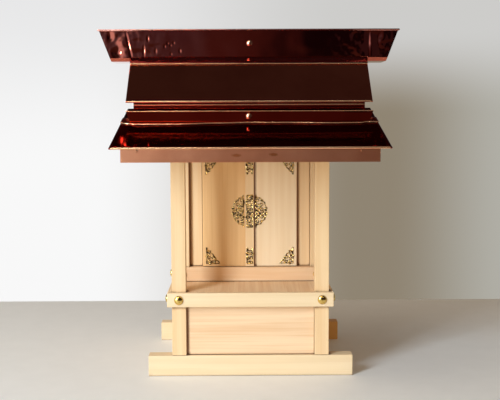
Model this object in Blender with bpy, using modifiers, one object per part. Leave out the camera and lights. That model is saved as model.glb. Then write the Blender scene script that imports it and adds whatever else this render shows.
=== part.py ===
"""A small household shrine cabinet: a plain timber body on two base beams, a porch with a shelf,
a pair of doors with pierced brass fittings, and a double roof of timber boards under copper sheet.

Metres. X is the width, Y the depth with the doors facing -Y, and Z the height from the floor.
Until the last step, Y is counted from the front face of the front posts.
"""

import math

import bmesh
import bpy
from mathutils import Vector

# Gaps
GAP = 0.0003  # between pieces that touch
DOOR_GAP = 0.00045  # round the edges of the doors

# Base
BEAM_LENGTH = 0.275
BEAM_DEPTH = 0.020
BEAM_HEIGHT = 0.028
BASE_OPEN = 0.0672  # height of the base between its beams and the shelf's rail
BASE_DEPTH = 0.222  # from the front beam's front face to the back beam's back face
BASE_PANEL = 0.005  # thickness of the boards that close the base
PANEL_RECESS = 0.005  # of every panel behind its posts' faces

# Posts
POST_SIDE = 0.019
POST_HEIGHT = 0.26805  # of the front posts, between their beam and the porch beam
POSTS_WIDTH = 0.2105  # over the outer faces of a pair of posts
PORCH_DEPTH = 0.0865  # from the front posts' faces to the corner posts' faces

# Shelf and body rail, both proud of the posts
RAIL_PROUD = 0.006
SHELF_RAIL_HEIGHT = 0.0191
SHELF_BOARD = 0.008
BODY_RAIL_HEIGHT = 0.020

# Doors
DOORWAY_WIDTH = 0.1348
DOOR_BOARD = 0.008
DOOR_RECESS = 0.002  # of the doors' faces behind the corner posts' faces
JAMB_RECESS = 0.008  # of the jambs' faces behind the corner posts' faces
JAMB_DEPTH = 0.011
HEAD_RECESS = 0.0035
PIVOT_INSET = 0.002  # of a door's hinge line from its outer edge and its face
STRIP_WIDTH = 0.0122  # of the cover strip on the meeting edges
STRIP_PROUD = 0.0022
BODY_WALL = 0.005

# Porch roof
PORCH_ROOF_RISE = 0.0465  # of its sheet above the doors, at the front posts' faces
PORCH_SLOPE = math.radians(13.4)
PORCH_OVERHANG = 0.1143  # of the sheet's eave in front of the posts
PORCH_BOARD = 0.0173
PORCH_BOARD_WIDTH = 0.313  # with its copper edging
EDGING_SETBACK = 0.003  # of the copper edging behind the sheet's eave
PORCH_BEAM_HEIGHT = 0.024
PORCH_BEAM_LENGTH = 0.236
LEDGER_HEIGHT = 0.020

# Main roof
ROOF_WIDTH = 0.341  # of the copper sheets, on both roofs
MAIN_SLOPE = math.radians(42.5)
MAIN_RUN = 0.0945  # level distance from the ridge line to a sheet's eave
MAIN_BOARD = 0.0125
MAIN_BOARD_WIDTH = 0.3185
MAIN_BOARD_SETBACK = 0.0072  # of the boards' edge behind the sheet's eave
EAVE_CLEARANCE = 0.0016  # of the main boards above the porch roof's sheet

# Copper work
SHEET = 0.0008
PORCH_HEM = 0.0027
SHEET_BACK_GAP = 0.0024  # from the porch sheet's rear edge to the corner posts' faces
MAIN_HEM = 0.0029
FLASHING = 0.0016  # thickness of a folded flashing
SKIRT_RUN = 0.0367  # level distance from the ridge line to the skirt's lower edge
SKIRT_COVER = 0.010  # of the skirt under the ridge cap

# Ridge cap, a trapezium from the front
CAP_DEPTH = 0.056
CAP_TOP_WIDTH = 0.4318
CAP_HEIGHT = 0.0461
CAP_DROP = 0.0027  # of the cap's foot below the roof at its face
CAP_FOLD_HEIGHT = 0.0054
CAP_FOLD = 0.003
CAP_END_SLOPE = math.radians(21)  # of both caps' ends from upright
CAP_BRIM = 0.0013  # of the rolled brim beyond the cap's faces and ends
BRIM_HEIGHT = 0.0028
CORE_CLEARANCE = 0.004  # of the timber core inside the cap

# Porch cap, a smaller trapezium
PORCH_CAP_SETBACK = 0.0012  # of its face behind the front posts' faces
PORCH_CAP_DEPTH = 0.022
PORCH_CAP_HEIGHT = 0.0163
PORCH_CAP_TOP_WIDTH = 0.3268
PORCH_FLASHING_LAP = 0.001  # of the flashing in front of and behind the cap

# Fittings
FITTING = 0.001  # thickness of the pierced plates
FITTING_MARGIN = 0.0034  # from a door's bottom or top edge
CORNER_MARGIN = 0.0045  # from a door's outer edge
CORNER_WIDTH = 0.0200
CORNER_HEIGHT = 0.0237
ROUNDEL_RADIUS = 0.0236
ROUNDEL_SHIFT = 0.0024  # of each half roundel away from the middle
ROUNDEL_CLEAR = 0.0021  # from the cover strip to a half roundel
STRIP_FITTING_WIDTH = 0.0094
STRIP_END_LENGTH = 0.0232
LOBE_DIP = 0.0016  # between the lobes of the roundel's edge
CORNER_BOW = 0.0022  # of a corner plate's long edge
CORNER_LOBE = 0.0009
CORNER_TIP = 0.0026  # blunt ends of a corner plate's long edge
FORK = 0.0037  # depth of the notch in an end fitting of the strip
ROW_PITCH = 0.0041
HOLE_PITCH = 0.0046
HOLE_RADIUS = 0.0013
HOLE_TAIL = 0.0007  # how much further the tail of a hole reaches
TAIL_TURN = math.radians(34)
TAIL_DRIFT = math.radians(13)  # from each hole's tail to the next one's in its row
RIM = 0.0009  # least metal between a plate's outline and its holes

# Studs
STUD_RADIUS = 0.006
STUD_HEIGHT = 0.0031
STUD_RIM = 0.0006
STUD_STEPS = 20

# Finish of the timber's edges
EASED = 0.0005

WOOD = ((0.87, 0.68, 0.46), 0.55, 0.0)
COPPER = ((0.42, 0.16, 0.10), 0.18, 1.0)
BRASS = ((0.83, 0.62, 0.22), 0.25, 1.0)

# Worked out from the sizes above
POST_X = POSTS_WIDTH / 2 - POST_SIDE / 2
INNER_X = POSTS_WIDTH / 2 - POST_SIDE
BAY_X = INNER_X - GAP
SHELF_RAIL_BOTTOM = BEAM_HEIGHT + BASE_OPEN
SHELF_TOP = SHELF_RAIL_BOTTOM + SHELF_RAIL_HEIGHT
FLOOR_TOP = SHELF_TOP + GAP + BODY_RAIL_HEIGHT
CORNER_BACK = PORCH_DEPTH + POST_SIDE
BACK_POST_FRONT = BASE_DEPTH - POST_SIDE
BODY_MIDDLE = (PORCH_DEPTH + BASE_DEPTH) / 2
DOOR_FACE = PORCH_DEPTH + DOOR_RECESS
DOOR_BOTTOM = FLOOR_TOP + DOOR_GAP
HINGE_X = DOORWAY_WIDTH / 2 - DOOR_GAP - PIVOT_INSET
HINGE_Y = DOOR_FACE + PIVOT_INSET

MAIN_EAVE_Y = BODY_MIDDLE - MAIN_RUN
MAIN_BOARD_Y = MAIN_EAVE_Y + MAIN_BOARD_SETBACK
PORCH_TAN = math.tan(PORCH_SLOPE)
MAIN_TAN = math.tan(MAIN_SLOPE)
UNDER_SHEET = SHEET + GAP
PORCH_UNDER_HEIGHT = BEAM_HEIGHT + GAP + POST_HEIGHT + GAP + PORCH_BEAM_HEIGHT
PORCH_ROOF_HEIGHT = PORCH_UNDER_HEIGHT + (UNDER_SHEET + PORCH_BOARD) / math.cos(PORCH_SLOPE)
PORCH_EAVE_Y = -PORCH_OVERHANG
DOOR_TOP = PORCH_ROOF_HEIGHT - PORCH_ROOF_RISE


def porch_top(y):
    """Height of the porch roof's sheet."""
    return PORCH_ROOF_HEIGHT + y * PORCH_TAN


def porch_under(y):
    """Height of the underside of the porch roof's board."""
    return porch_top(y) - (UNDER_SHEET + PORCH_BOARD) / math.cos(PORCH_SLOPE)


MAIN_UNDER_AT_EDGE = porch_top(MAIN_BOARD_Y) + EAVE_CLEARANCE
MAIN_EAVE_Z = (
    MAIN_UNDER_AT_EDGE
    + (UNDER_SHEET + MAIN_BOARD) / math.cos(MAIN_SLOPE)
    - MAIN_BOARD_SETBACK * MAIN_TAN
)


def main_top(y):
    """Height of the main roof's sheets, on either side of the ridge line."""
    return MAIN_EAVE_Z + (MAIN_RUN - abs(y - BODY_MIDDLE)) * MAIN_TAN


def main_under(y):
    """Height of the underside of the main roof's boards."""
    return main_top(y) - (UNDER_SHEET + MAIN_BOARD) / math.cos(MAIN_SLOPE)


CAP_FACE = BODY_MIDDLE - CAP_DEPTH / 2
CAP_FOOT = main_top(CAP_FACE) - CAP_DROP
CAP_TOP = CAP_FOOT + CAP_HEIGHT
FRONT_EDGE = PORCH_EAVE_Y
BACK_EDGE = BODY_MIDDLE + MAIN_RUN


def clear_scene():
    for item in list(bpy.data.objects):
        bpy.data.objects.remove(item)


def collection(name):
    made = bpy.data.collections.new(name)
    bpy.context.scene.collection.children.link(made)
    return made


clear_scene()
CABINET = collection("altar_cabinet")
CUTTERS = collection("cutters")


def empty(name, place, parent=None):
    """A point that pieces are parented to."""
    made = bpy.data.objects.new(name, None)
    CABINET.objects.link(made)
    made.location = place
    made.parent = parent
    return made


ROOT = empty("cabinet_frame", (0, -(FRONT_EDGE + BACK_EDGE) / 2, 0))
LEFT_LEAF = empty("left_door_axis", (-HINGE_X, HINGE_Y, DOOR_BOTTOM), ROOT)
RIGHT_LEAF = empty("right_door_axis", (HINGE_X, HINGE_Y, DOOR_BOTTOM), ROOT)


def material(name, finish):
    """A plain Principled finish for one piece."""
    colour, roughness, metallic = finish
    made = bpy.data.materials.new(name)
    made.use_nodes = True
    shader = made.node_tree.nodes["Principled BSDF"]
    shader.inputs["Base Color"].default_value = (*colour, 1)
    shader.inputs["Roughness"].default_value = roughness
    shader.inputs["Metallic"].default_value = metallic
    return made


def place(made, parent, finish):
    """Puts a new piece in the cabinet, or among the cutters if it has no finish."""
    made.parent = parent
    if finish is None:
        CUTTERS.objects.link(made)
        made.hide_render = True
        made.display_type = "WIRE"
    else:
        CABINET.objects.link(made)
        made.data.materials.append(material(made.name, finish))
    return made


def ease(made, width=EASED):
    """Takes the sharpness off a timber's edges."""
    bevel = made.modifiers.new("eased_edges", "BEVEL")
    bevel.width = width
    bevel.segments = 1
    bevel.limit_method = "ANGLE"
    bevel.angle_limit = math.radians(30)
    return made


def inside(parent):
    """Where a parent's own zero is, counted from the front posts' faces."""
    return Vector() if parent is ROOT else Vector(parent.location)


def block(name, x, y, z, finish, parent=ROOT, eased=True):
    """A board or beam between two ends on each axis."""
    low = Vector((x[0], y[0], z[0]))
    high = Vector((x[1], y[1], z[1]))
    mesh = bpy.data.meshes.new(name)
    solid = bmesh.new()
    bmesh.ops.create_cube(solid, size=1)
    bmesh.ops.scale(solid, vec=high - low, verts=solid.verts)
    solid.to_mesh(mesh)
    solid.free()
    made = place(bpy.data.objects.new(name, mesh), parent, finish)
    made.location = (low + high) / 2 - inside(parent)
    return ease(made) if eased else made


# How a flat outline's own axes turn when it is extruded along X, Y or Z.
TURNS = {
    "X": (math.pi / 2, 0, math.pi / 2),
    "Y": (math.pi / 2, 0, 0),
    "Z": (0, 0, 0),
}


def outline_place(axis, middle):
    return {"X": (middle, 0, 0), "Y": (0, middle, 0), "Z": (0, 0, middle)}[axis]


def extruded(name, outlines, axis, ends, finish, parent=ROOT, eased=False):
    """A flat outline, with holes after it, extruded along an axis between two ends."""
    curve = bpy.data.curves.new(name, "CURVE")
    curve.dimensions = "2D"
    curve.fill_mode = "BOTH"
    curve.extrude = (ends[1] - ends[0]) / 2
    for points in outlines:
        line = curve.splines.new("POLY")
        line.points.add(len(points) - 1)
        for point, (u, v) in zip(line.points, points):
            point.co = (u, v, 0, 1)
        line.use_cyclic_u = True
    flat = bpy.data.objects.new(name + "_outline", curve)
    bpy.context.scene.collection.objects.link(flat)
    bpy.context.view_layer.update()
    seen = flat.evaluated_get(bpy.context.evaluated_depsgraph_get())
    mesh = bpy.data.meshes.new_from_object(seen)
    mesh.name = name
    solid = bmesh.new()
    solid.from_mesh(mesh)
    bmesh.ops.remove_doubles(solid, verts=solid.verts, dist=0.000001)
    bmesh.ops.recalc_face_normals(solid, faces=solid.faces)
    solid.to_mesh(mesh)
    solid.free()
    mesh.materials.clear()
    bpy.data.objects.remove(flat)
    bpy.data.curves.remove(curve)
    made = place(bpy.data.objects.new(name, mesh), parent, finish)
    made.rotation_euler = TURNS[axis]
    made.location = Vector(outline_place(axis, (ends[0] + ends[1]) / 2)) - inside(parent)
    return ease(made) if eased else made


def boolean(made, other, operation):
    change = made.modifiers.new(operation.lower(), "BOOLEAN")
    change.operation = operation
    change.solver = "EXACT"
    change.object = other
    return made


def strip_plate(name, finish, width, length, thickness, eave, slope, turn, start=0.0):
    """A flat plate that lies on a slope, its top at thickness above the line from the eave."""
    mesh = bpy.data.meshes.new(name)
    solid = bmesh.new()
    bmesh.ops.create_cube(solid, size=1)
    bmesh.ops.scale(solid, vec=(width, length, thickness), verts=solid.verts)
    bmesh.ops.translate(solid, vec=(0, start + length / 2, thickness / 2), verts=solid.verts)
    solid.to_mesh(mesh)
    solid.free()
    made = place(bpy.data.objects.new(name, mesh), ROOT, finish)
    made.location = eave
    made.rotation_euler = (slope, 0, turn)
    return made


def slope_sheet(name, width, length, hem, eave, slope, turn):
    """A copper sheet on a slope, its eave and its two sides folded down in a hem."""
    mesh = bpy.data.meshes.new(name)
    sheet = bmesh.new()
    bmesh.ops.create_grid(sheet, x_segments=1, y_segments=1, size=0.5)
    bmesh.ops.scale(sheet, vec=(width, length, 1), verts=sheet.verts)
    bmesh.ops.translate(sheet, vec=(0, length / 2, 0), verts=sheet.verts)
    folded = [
        edge
        for edge in sheet.edges
        if not all(vert.co.y > length - GAP for vert in edge.verts)
    ]
    made = bmesh.ops.extrude_edge_only(sheet, edges=folded)
    down = [item for item in made["geom"] if isinstance(item, bmesh.types.BMVert)]
    bmesh.ops.translate(sheet, vec=(0, 0, -hem), verts=down)
    bmesh.ops.recalc_face_normals(sheet, faces=sheet.faces)
    if sum(face.normal.z * face.calc_area() for face in sheet.faces) < 0:
        bmesh.ops.reverse_faces(sheet, faces=sheet.faces)
    sheet.to_mesh(mesh)
    sheet.free()
    piece = place(bpy.data.objects.new(name, mesh), ROOT, COPPER)
    piece.location = eave
    piece.rotation_euler = (slope, 0, turn)
    shell = piece.modifiers.new("sheet_thickness", "SOLIDIFY")
    shell.thickness = SHEET
    shell.offset = -1
    shell.use_even_offset = True
    return piece


def base():
    """Two long beams, the sills between them, and the boards that close the base."""
    half = BEAM_LENGTH / 2
    back = BASE_DEPTH - BEAM_DEPTH
    block("base_beam_front", (-half, half), (0, BEAM_DEPTH), (0, BEAM_HEIGHT), WOOD)
    block("base_beam_back", (-half, half), (back, BASE_DEPTH), (0, BEAM_HEIGHT), WOOD)
    panel_z = (BEAM_HEIGHT + GAP, SHELF_TOP - SHELF_BOARD - GAP)
    inner = POSTS_WIDTH / 2 - PANEL_RECESS - BASE_PANEL
    for side, name in ((-1, "left"), (1, "right")):
        sill_x = sorted((side * INNER_X, side * POSTS_WIDTH / 2))
        sill_y = (BEAM_DEPTH + GAP, back - GAP)
        block("base_sill_" + name, sill_x, sill_y, (0, BEAM_HEIGHT), WOOD)
        panel_x = sorted((side * inner, side * (inner + BASE_PANEL)))
        panel_y = (POST_SIDE + GAP, BACK_POST_FRONT - GAP)
        block("base_panel_" + name, panel_x, panel_y, panel_z, WOOD)
    front_y = (PANEL_RECESS, PANEL_RECESS + BASE_PANEL)
    back_y = (BASE_DEPTH - PANEL_RECESS - BASE_PANEL, BASE_DEPTH - PANEL_RECESS)
    block("base_panel_front", (-BAY_X, BAY_X), front_y, panel_z, WOOD)
    block("base_panel_back", (-BAY_X, BAY_X), back_y, panel_z, WOOD)


def posts():
    """Front posts under the porch beam, back posts and corner posts up to the main roof."""
    beam_foot = porch_under(0) - PORCH_BEAM_HEIGHT
    for side, name in ((-1, "left"), (1, "right")):
        ends = sorted((side * INNER_X, side * POSTS_WIDTH / 2))
        foot = BEAM_HEIGHT + GAP
        block("front_post_" + name, ends, (0, POST_SIDE), (foot, beam_foot - GAP), WOOD)
        for label, front, low in (
            ("corner_post_", PORCH_DEPTH, SHELF_TOP + GAP),
            ("back_post_", BACK_POST_FRONT, foot),
        ):
            back = front + POST_SIDE
            outline = [
                (front, low),
                (back, low),
                (back, main_under(back) - GAP),
                (front, main_under(front) - GAP),
            ]
            extruded(label + name, [outline], "X", ends, WOOD, eased=True)


def shelf():
    """The shelf board round the posts, and the rail that wraps it on three sides."""
    outer = POSTS_WIDTH / 2 + RAIL_PROUD
    rail_z = (SHELF_RAIL_BOTTOM, SHELF_TOP)
    block("shelf_rail_front", (-outer, outer), (-RAIL_PROUD, -GAP), rail_z, WOOD)
    for side, name in ((-1, "left"), (1, "right")):
        ends = sorted((side * (POSTS_WIDTH / 2 + GAP), side * outer))
        block("shelf_rail_" + name, ends, (0, BASE_DEPTH), rail_z, WOOD)
    wide = POSTS_WIDTH / 2
    quarter = [
        (BAY_X, 0),
        (BAY_X, POST_SIDE + GAP),
        (wide, POST_SIDE + GAP),
        (wide, BACK_POST_FRONT - GAP),
        (BAY_X, BACK_POST_FRONT - GAP),
        (BAY_X, BASE_DEPTH),
    ]
    outline = quarter + [(-x, y) for x, y in reversed(quarter)]
    ends = (SHELF_TOP - SHELF_BOARD, SHELF_TOP)
    extruded("shelf_board", [outline], "Z", ends, WOOD)


def body():
    """The body's rail, floor, walls, jambs and head board."""
    outer = POSTS_WIDTH / 2 + RAIL_PROUD
    rail_z = (SHELF_TOP + GAP, FLOOR_TOP)
    front = (PORCH_DEPTH - RAIL_PROUD, PORCH_DEPTH - GAP)
    block("body_rail_front", (-outer, outer), front, rail_z, WOOD)
    wall_x = POSTS_WIDTH / 2 - PANEL_RECESS
    back_wall_y = BASE_DEPTH - PANEL_RECESS - BODY_WALL
    for side, name in ((-1, "left"), (1, "right")):
        ends = sorted((side * (POSTS_WIDTH / 2 + GAP), side * outer))
        block("body_rail_" + name, ends, (PORCH_DEPTH, BASE_DEPTH), rail_z, WOOD)
        near, far = CORNER_BACK + GAP, BACK_POST_FRONT - GAP
        low = SHELF_TOP + GAP
        outline = [
            (near, low),
            (far, low),
            (far, main_under(far) - GAP),
            (BODY_MIDDLE, main_under(BODY_MIDDLE) - GAP),
            (near, main_under(near) - GAP),
        ]
        ends = sorted((side * (wall_x - BODY_WALL), side * wall_x))
        extruded("side_wall_" + name, [outline], "X", ends, WOOD)
        jamb_x = sorted((side * DOORWAY_WIDTH / 2, side * BAY_X))
        jamb_y = (PORCH_DEPTH + JAMB_RECESS, PORCH_DEPTH + JAMB_RECESS + JAMB_DEPTH)
        block("door_jamb_" + name, jamb_x, jamb_y, (FLOOR_TOP + GAP, DOOR_TOP), WOOD)

    wide = wall_x - BODY_WALL - GAP
    half = [
        (BAY_X, PORCH_DEPTH),
        (BAY_X, CORNER_BACK + GAP),
        (wide, CORNER_BACK + GAP),
        (wide, BACK_POST_FRONT - GAP),
        (BAY_X, BACK_POST_FRONT - GAP),
        (BAY_X, back_wall_y - GAP),
    ]
    outline = half + [(-x, y) for x, y in reversed(half)]
    extruded("sanctuary_floor", [outline], "Z", rail_z, WOOD)

    head_y = (PORCH_DEPTH + HEAD_RECESS, CORNER_BACK)
    board("door_head", head_y, DOOR_TOP + DOOR_GAP)
    board("back_wall", (back_wall_y, back_wall_y + BODY_WALL), SHELF_TOP + GAP)


def board(name, ends_y, low):
    """A board between the posts whose top follows the underside of the main roof."""
    front, back = ends_y
    outline = [
        (front, low),
        (back, low),
        (back, main_under(back) - GAP),
        (front, main_under(front) - GAP),
    ]
    extruded(name, [outline], "X", (-BAY_X, BAY_X), WOOD, eased=True)


def doors():
    """Two leaves, and the cover strip that the left one carries over the meeting edges."""
    edge = DOORWAY_WIDTH / 2 - DOOR_GAP
    leaf_y = (DOOR_FACE, DOOR_FACE + DOOR_BOARD)
    leaf_z = (DOOR_BOTTOM, DOOR_TOP)
    meeting = DOOR_GAP / 2
    block("door_left", (-edge, -meeting), leaf_y, leaf_z, WOOD, LEFT_LEAF)
    block("door_right", (meeting, edge), leaf_y, leaf_z, WOOD, RIGHT_LEAF)
    strip_x = (-STRIP_WIDTH / 2, STRIP_WIDTH / 2)
    strip_y = (DOOR_FACE - GAP - STRIP_PROUD, DOOR_FACE - GAP)
    block("door_strip", strip_x, strip_y, leaf_z, WOOD, LEFT_LEAF)


def lobed_arc(radius, lobes, end, steps):
    """Points on an arc about the X axis that swells and dips like the edge of a leaf."""
    points = []
    for i in range(steps + 1):
        along = i / steps
        turn = end * (2 * along - 1)
        reach = radius - LOBE_DIP * abs(math.sin(math.pi * lobes * along))
        points.append((reach * math.cos(turn), reach * math.sin(turn)))
    return points


def edge_distance(outline, u, v):
    """Distance from a point to an outline, negative outside it."""
    nearest, within = math.inf, False
    for (au, av), (bu, bv) in zip(outline, outline[1:] + outline[:1]):
        du, dv = bu - au, bv - av
        along = ((u - au) * du + (v - av) * dv) / (du * du + dv * dv)
        along = min(1, max(0, along))
        nearest = min(nearest, math.hypot(u - au - along * du, v - av - along * dv))
        if (av > v) != (bv > v) and u < au + (v - av) * du / dv:
            within = not within
    return nearest if within else -nearest


def comma(u, v, turn):
    """A small hole with a tail, as between two scrolls."""
    points = []
    for i in range(8):
        angle = 2 * math.pi * i / 8
        reach = HOLE_RADIUS + HOLE_TAIL * max(0, math.cos(angle)) ** 2
        points.append((u + reach * math.cos(angle + turn), v + reach * math.sin(angle + turn)))
    return points


def piercings(outline):
    """Rows of tailed holes, spread over the width that the plate has at each row."""
    us = [u for u, v in outline]
    vs = [v for u, v in outline]
    room = HOLE_RADIUS + HOLE_TAIL + RIM
    rows = int((max(vs) - min(vs) - 2 * room) / ROW_PITCH) + 1
    lowest = (min(vs) + max(vs) - (rows - 1) * ROW_PITCH) / 2
    step = HOLE_RADIUS / 8
    holes = []
    for row in range(rows):
        v = lowest + row * ROW_PITCH
        tries = [min(us) + i * step for i in range(int((max(us) - min(us)) / step) + 1)]
        free = [u for u in tries if edge_distance(outline, u, v) > room]
        if not free:
            continue
        spare = free[-1] - free[0]
        count = int(spare / HOLE_PITCH) + 1
        turn = TAIL_TURN if row % 2 else math.pi - TAIL_TURN
        for i in range(count):
            u = free[0] + spare * (i + 0.5) / count
            holes.append(comma(u, v, turn + TAIL_DRIFT * (i + row)))
    return holes


def half_roundel():
    """One half of the middle fitting, to the right of the cover strip."""
    chord = STRIP_WIDTH / 2 + ROUNDEL_CLEAR - ROUNDEL_SHIFT
    end = math.acos(chord / ROUNDEL_RADIUS)
    arc = lobed_arc(ROUNDEL_RADIUS, 7, end, 42)
    return [(max(u, chord) + ROUNDEL_SHIFT, v) for u, v in arc]


def corner_plate():
    """A corner fitting at a right-hand bottom corner, with its right angle at the origin."""
    points = [(0, 0)]
    across, up = CORNER_WIDTH - CORNER_TIP, CORNER_HEIGHT - CORNER_TIP
    length = math.hypot(across, up)
    steps = 20
    for i in range(steps + 1):
        along = i / steps
        bow = CORNER_BOW * math.sin(math.pi * along)
        bow -= CORNER_LOBE * abs(math.sin(4 * math.pi * along))
        u = across * along + bow * up / length
        v = CORNER_HEIGHT - up * along + bow * across / length
        points.append((-u, v))
    points.append((-CORNER_WIDTH, 0))
    return points


def strip_middle():
    """The part of the middle fitting on the cover strip, its ends rounded as the roundel's."""
    half = STRIP_FITTING_WIDTH / 2
    end = math.asin(half / ROUNDEL_RADIUS)
    arc = []
    for i in range(-4, 5):
        turn = end * i / 4
        arc.append((ROUNDEL_RADIUS * math.sin(turn), ROUNDEL_RADIUS * math.cos(turn)))
    return arc + [(-u, -v) for u, v in arc]


def strip_end():
    """An end fitting of the cover strip, square at its foot and forked at its top."""
    half, top = STRIP_FITTING_WIDTH / 2, STRIP_END_LENGTH
    points = [(-half, 0), (half, 0)]
    for i in range(9):
        across = 1 - i / 4
        points.append((half * across, top - FORK * math.cos(math.pi / 2 * across)))
    return points


def fitting(name, outline, face, parent):
    """A pierced plate that faces the front, on a board whose face is at the given depth."""
    ends = (face - GAP - FITTING, face - GAP)
    extruded(name, [outline] + piercings(outline), "Y", ends, BRASS, parent)


def moved(outline, u, v, mirror_u=1, mirror_v=1):
    return [(u + mirror_u * a, v + mirror_v * b) for a, b in outline]


def fittings():
    """Nine pierced plates: four corners, the ends of the strip, and the roundel in three parts."""
    middle_z = (DOOR_BOTTOM + DOOR_TOP) / 2
    strip_face = DOOR_FACE - GAP - STRIP_PROUD
    corner_x = DOORWAY_WIDTH / 2 - DOOR_GAP - CORNER_MARGIN
    low_z, high_z = DOOR_BOTTOM + FITTING_MARGIN, DOOR_TOP - FITTING_MARGIN
    for side, name, leaf in ((-1, "left", LEFT_LEAF), (1, "right", RIGHT_LEAF)):
        half = moved(half_roundel(), 0, middle_z, side)
        fitting("fitting_roundel_" + name, half, DOOR_FACE, leaf)
        for label, z, up in (("low", low_z, 1), ("high", high_z, -1)):
            plate = moved(corner_plate(), side * corner_x, z, side, up)
            fitting(f"fitting_corner_{name}_{label}", plate, DOOR_FACE, leaf)
    fitting("fitting_roundel_strip", moved(strip_middle(), 0, middle_z), strip_face, LEFT_LEAF)
    for label, z, up in (("low", low_z, 1), ("high", high_z, -1)):
        plate = moved(strip_end(), 0, z, 1, up)
        fitting("fitting_strip_" + label, plate, strip_face, LEFT_LEAF)


def stud(name, point, turn):
    """A domed nail cover, turned from its profile."""
    mesh = bpy.data.meshes.new(name)
    profile = bmesh.new()
    rise = STUD_HEIGHT - STUD_RIM
    line = [(0, STUD_HEIGHT)]
    for i in range(1, 6):
        angle = math.pi / 2 * i / 5
        line.append((STUD_RADIUS * math.sin(angle), STUD_RIM + rise * math.cos(angle)))
    line += [(STUD_RADIUS, 0), (0, 0)]
    verts = [profile.verts.new((r, 0, h)) for r, h in line]
    for first, second in zip(verts, verts[1:]):
        profile.edges.new((first, second))
    profile.to_mesh(mesh)
    profile.free()
    made = place(bpy.data.objects.new(name, mesh), ROOT, BRASS)
    made.location = point
    made.rotation_euler = turn
    screw = made.modifiers.new("turned", "SCREW")
    screw.steps = STUD_STEPS
    screw.render_steps = STUD_STEPS
    screw.use_merge_vertices = True
    screw.merge_threshold = 0.00001
    screw.use_smooth_shade = True
    return made


def studs():
    """Nail covers where the rails cross the posts."""
    outer = POSTS_WIDTH / 2 + RAIL_PROUD + GAP
    shelf_z = SHELF_RAIL_BOTTOM + SHELF_RAIL_HEIGHT / 2
    rail_z = (SHELF_TOP + GAP + FLOOR_TOP) / 2
    for side, name in ((-1, "left"), (1, "right")):
        sideways = (0, side * math.pi / 2, 0)
        front = (side * POST_X, -RAIL_PROUD - GAP, shelf_z)
        stud("shelf_stud_front_" + name, front, (math.pi / 2, 0, 0))
        stud("shelf_stud_side_" + name, (side * outer, POST_SIDE / 2, shelf_z), sideways)
        corner_y = PORCH_DEPTH + POST_SIDE / 2
        stud("rail_stud_side_" + name, (side * outer, corner_y, rail_z), sideways)


def porch_roof():
    """The beam on the front posts, the ledger on the body, and the low roof over them."""
    beam_foot = porch_under(0) - PORCH_BEAM_HEIGHT
    beam = [
        (0, beam_foot),
        (POST_SIDE, beam_foot),
        (POST_SIDE, porch_under(POST_SIDE) - GAP),
        (0, porch_under(0) - GAP),
    ]
    half = PORCH_BEAM_LENGTH / 2
    extruded("porch_beam", [beam], "X", (-half, half), WOOD, eased=True)

    front, back = PORCH_DEPTH - RAIL_PROUD, PORCH_DEPTH - GAP
    foot = porch_under(front) - LEDGER_HEIGHT
    ledger = [
        (front, foot),
        (back, foot),
        (back, porch_under(back) - GAP),
        (front, porch_under(front) - GAP),
    ]
    outer = POSTS_WIDTH / 2 + RAIL_PROUD
    extruded("porch_ledger", [ledger], "X", (-outer, outer), WOOD, eased=True)

    face = PORCH_EAVE_Y + EDGING_SETBACK
    inner_half = PORCH_BOARD_WIDTH / 2 - SHEET - GAP
    edge = face + SHEET + GAP
    timber = porch_profile(edge, PORCH_DEPTH - GAP, 0)
    extruded("porch_roof_board", [timber], "X", (-inner_half, inner_half), WOOD)

    half = PORCH_BOARD_WIDTH / 2
    outside = porch_profile(face, PORCH_DEPTH - GAP, 0)
    edging = extruded("porch_roof_edging", [outside], "X", (-half, half), COPPER)
    hollow = porch_profile(face + SHEET, PORCH_DEPTH + PORCH_BOARD, PORCH_BOARD)
    hollow_half = half - SHEET
    void = extruded("porch_edging_void", [hollow], "X", (-hollow_half, hollow_half), None)
    boolean(edging, void, "DIFFERENCE")

    eave = (0, PORCH_EAVE_Y, porch_top(PORCH_EAVE_Y))
    length = (PORCH_DEPTH - SHEET_BACK_GAP - PORCH_EAVE_Y) / math.cos(PORCH_SLOPE)
    slope_sheet("porch_roof_sheet", ROOF_WIDTH, length, PORCH_HEM, eave, PORCH_SLOPE, 0)


def porch_profile(front, back, grow):
    """The side view of the porch roof's board, grown above and below for a cutter."""
    drop = UNDER_SHEET / math.cos(PORCH_SLOPE)
    return [
        (front, porch_under(front) - grow),
        (back, porch_under(back) - grow),
        (back, porch_top(back) - drop + grow),
        (front, porch_top(front) - drop + grow),
    ]


def trapezium(top_width, top, foot):
    """The front view of a ridge cap, narrower at its foot."""
    shrink = (top - foot) * math.tan(CAP_END_SLOPE)
    upper, lower = top_width / 2, top_width / 2 - shrink
    return [(-lower, foot), (lower, foot), (upper, top), (-upper, top)]


def hollow_cap(name, outside, inside_profile, top_width, top, foot, depth_ends, flashing=None):
    """A folded copper cap, open below: a side view cut to a trapezium and hollowed out."""
    half = top_width / 2 + CAP_BRIM
    cap = extruded(name, [outside], "X", (-half, half), COPPER)
    margin = CAP_DEPTH
    ends = (depth_ends[0] - margin, depth_ends[1] + margin)
    front_view = trapezium(top_width, top, foot)
    boolean(cap, extruded(name + "_ends", [front_view], "Y", ends, None), "INTERSECT")
    lining = 2 * SHEET / math.cos(CAP_END_SLOPE)
    inner_view = trapezium(top_width - lining, top, foot - margin)
    void = extruded(name + "_void", [inside_profile], "X", (-half, half), None)
    inner = extruded(name + "_void_ends", [inner_view], "Y", ends, None)
    boolean(void, inner, "INTERSECT")
    if flashing is not None:
        boolean(cap, flashing, "UNION")
    boolean(cap, void, "DIFFERENCE")
    return cap


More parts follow.
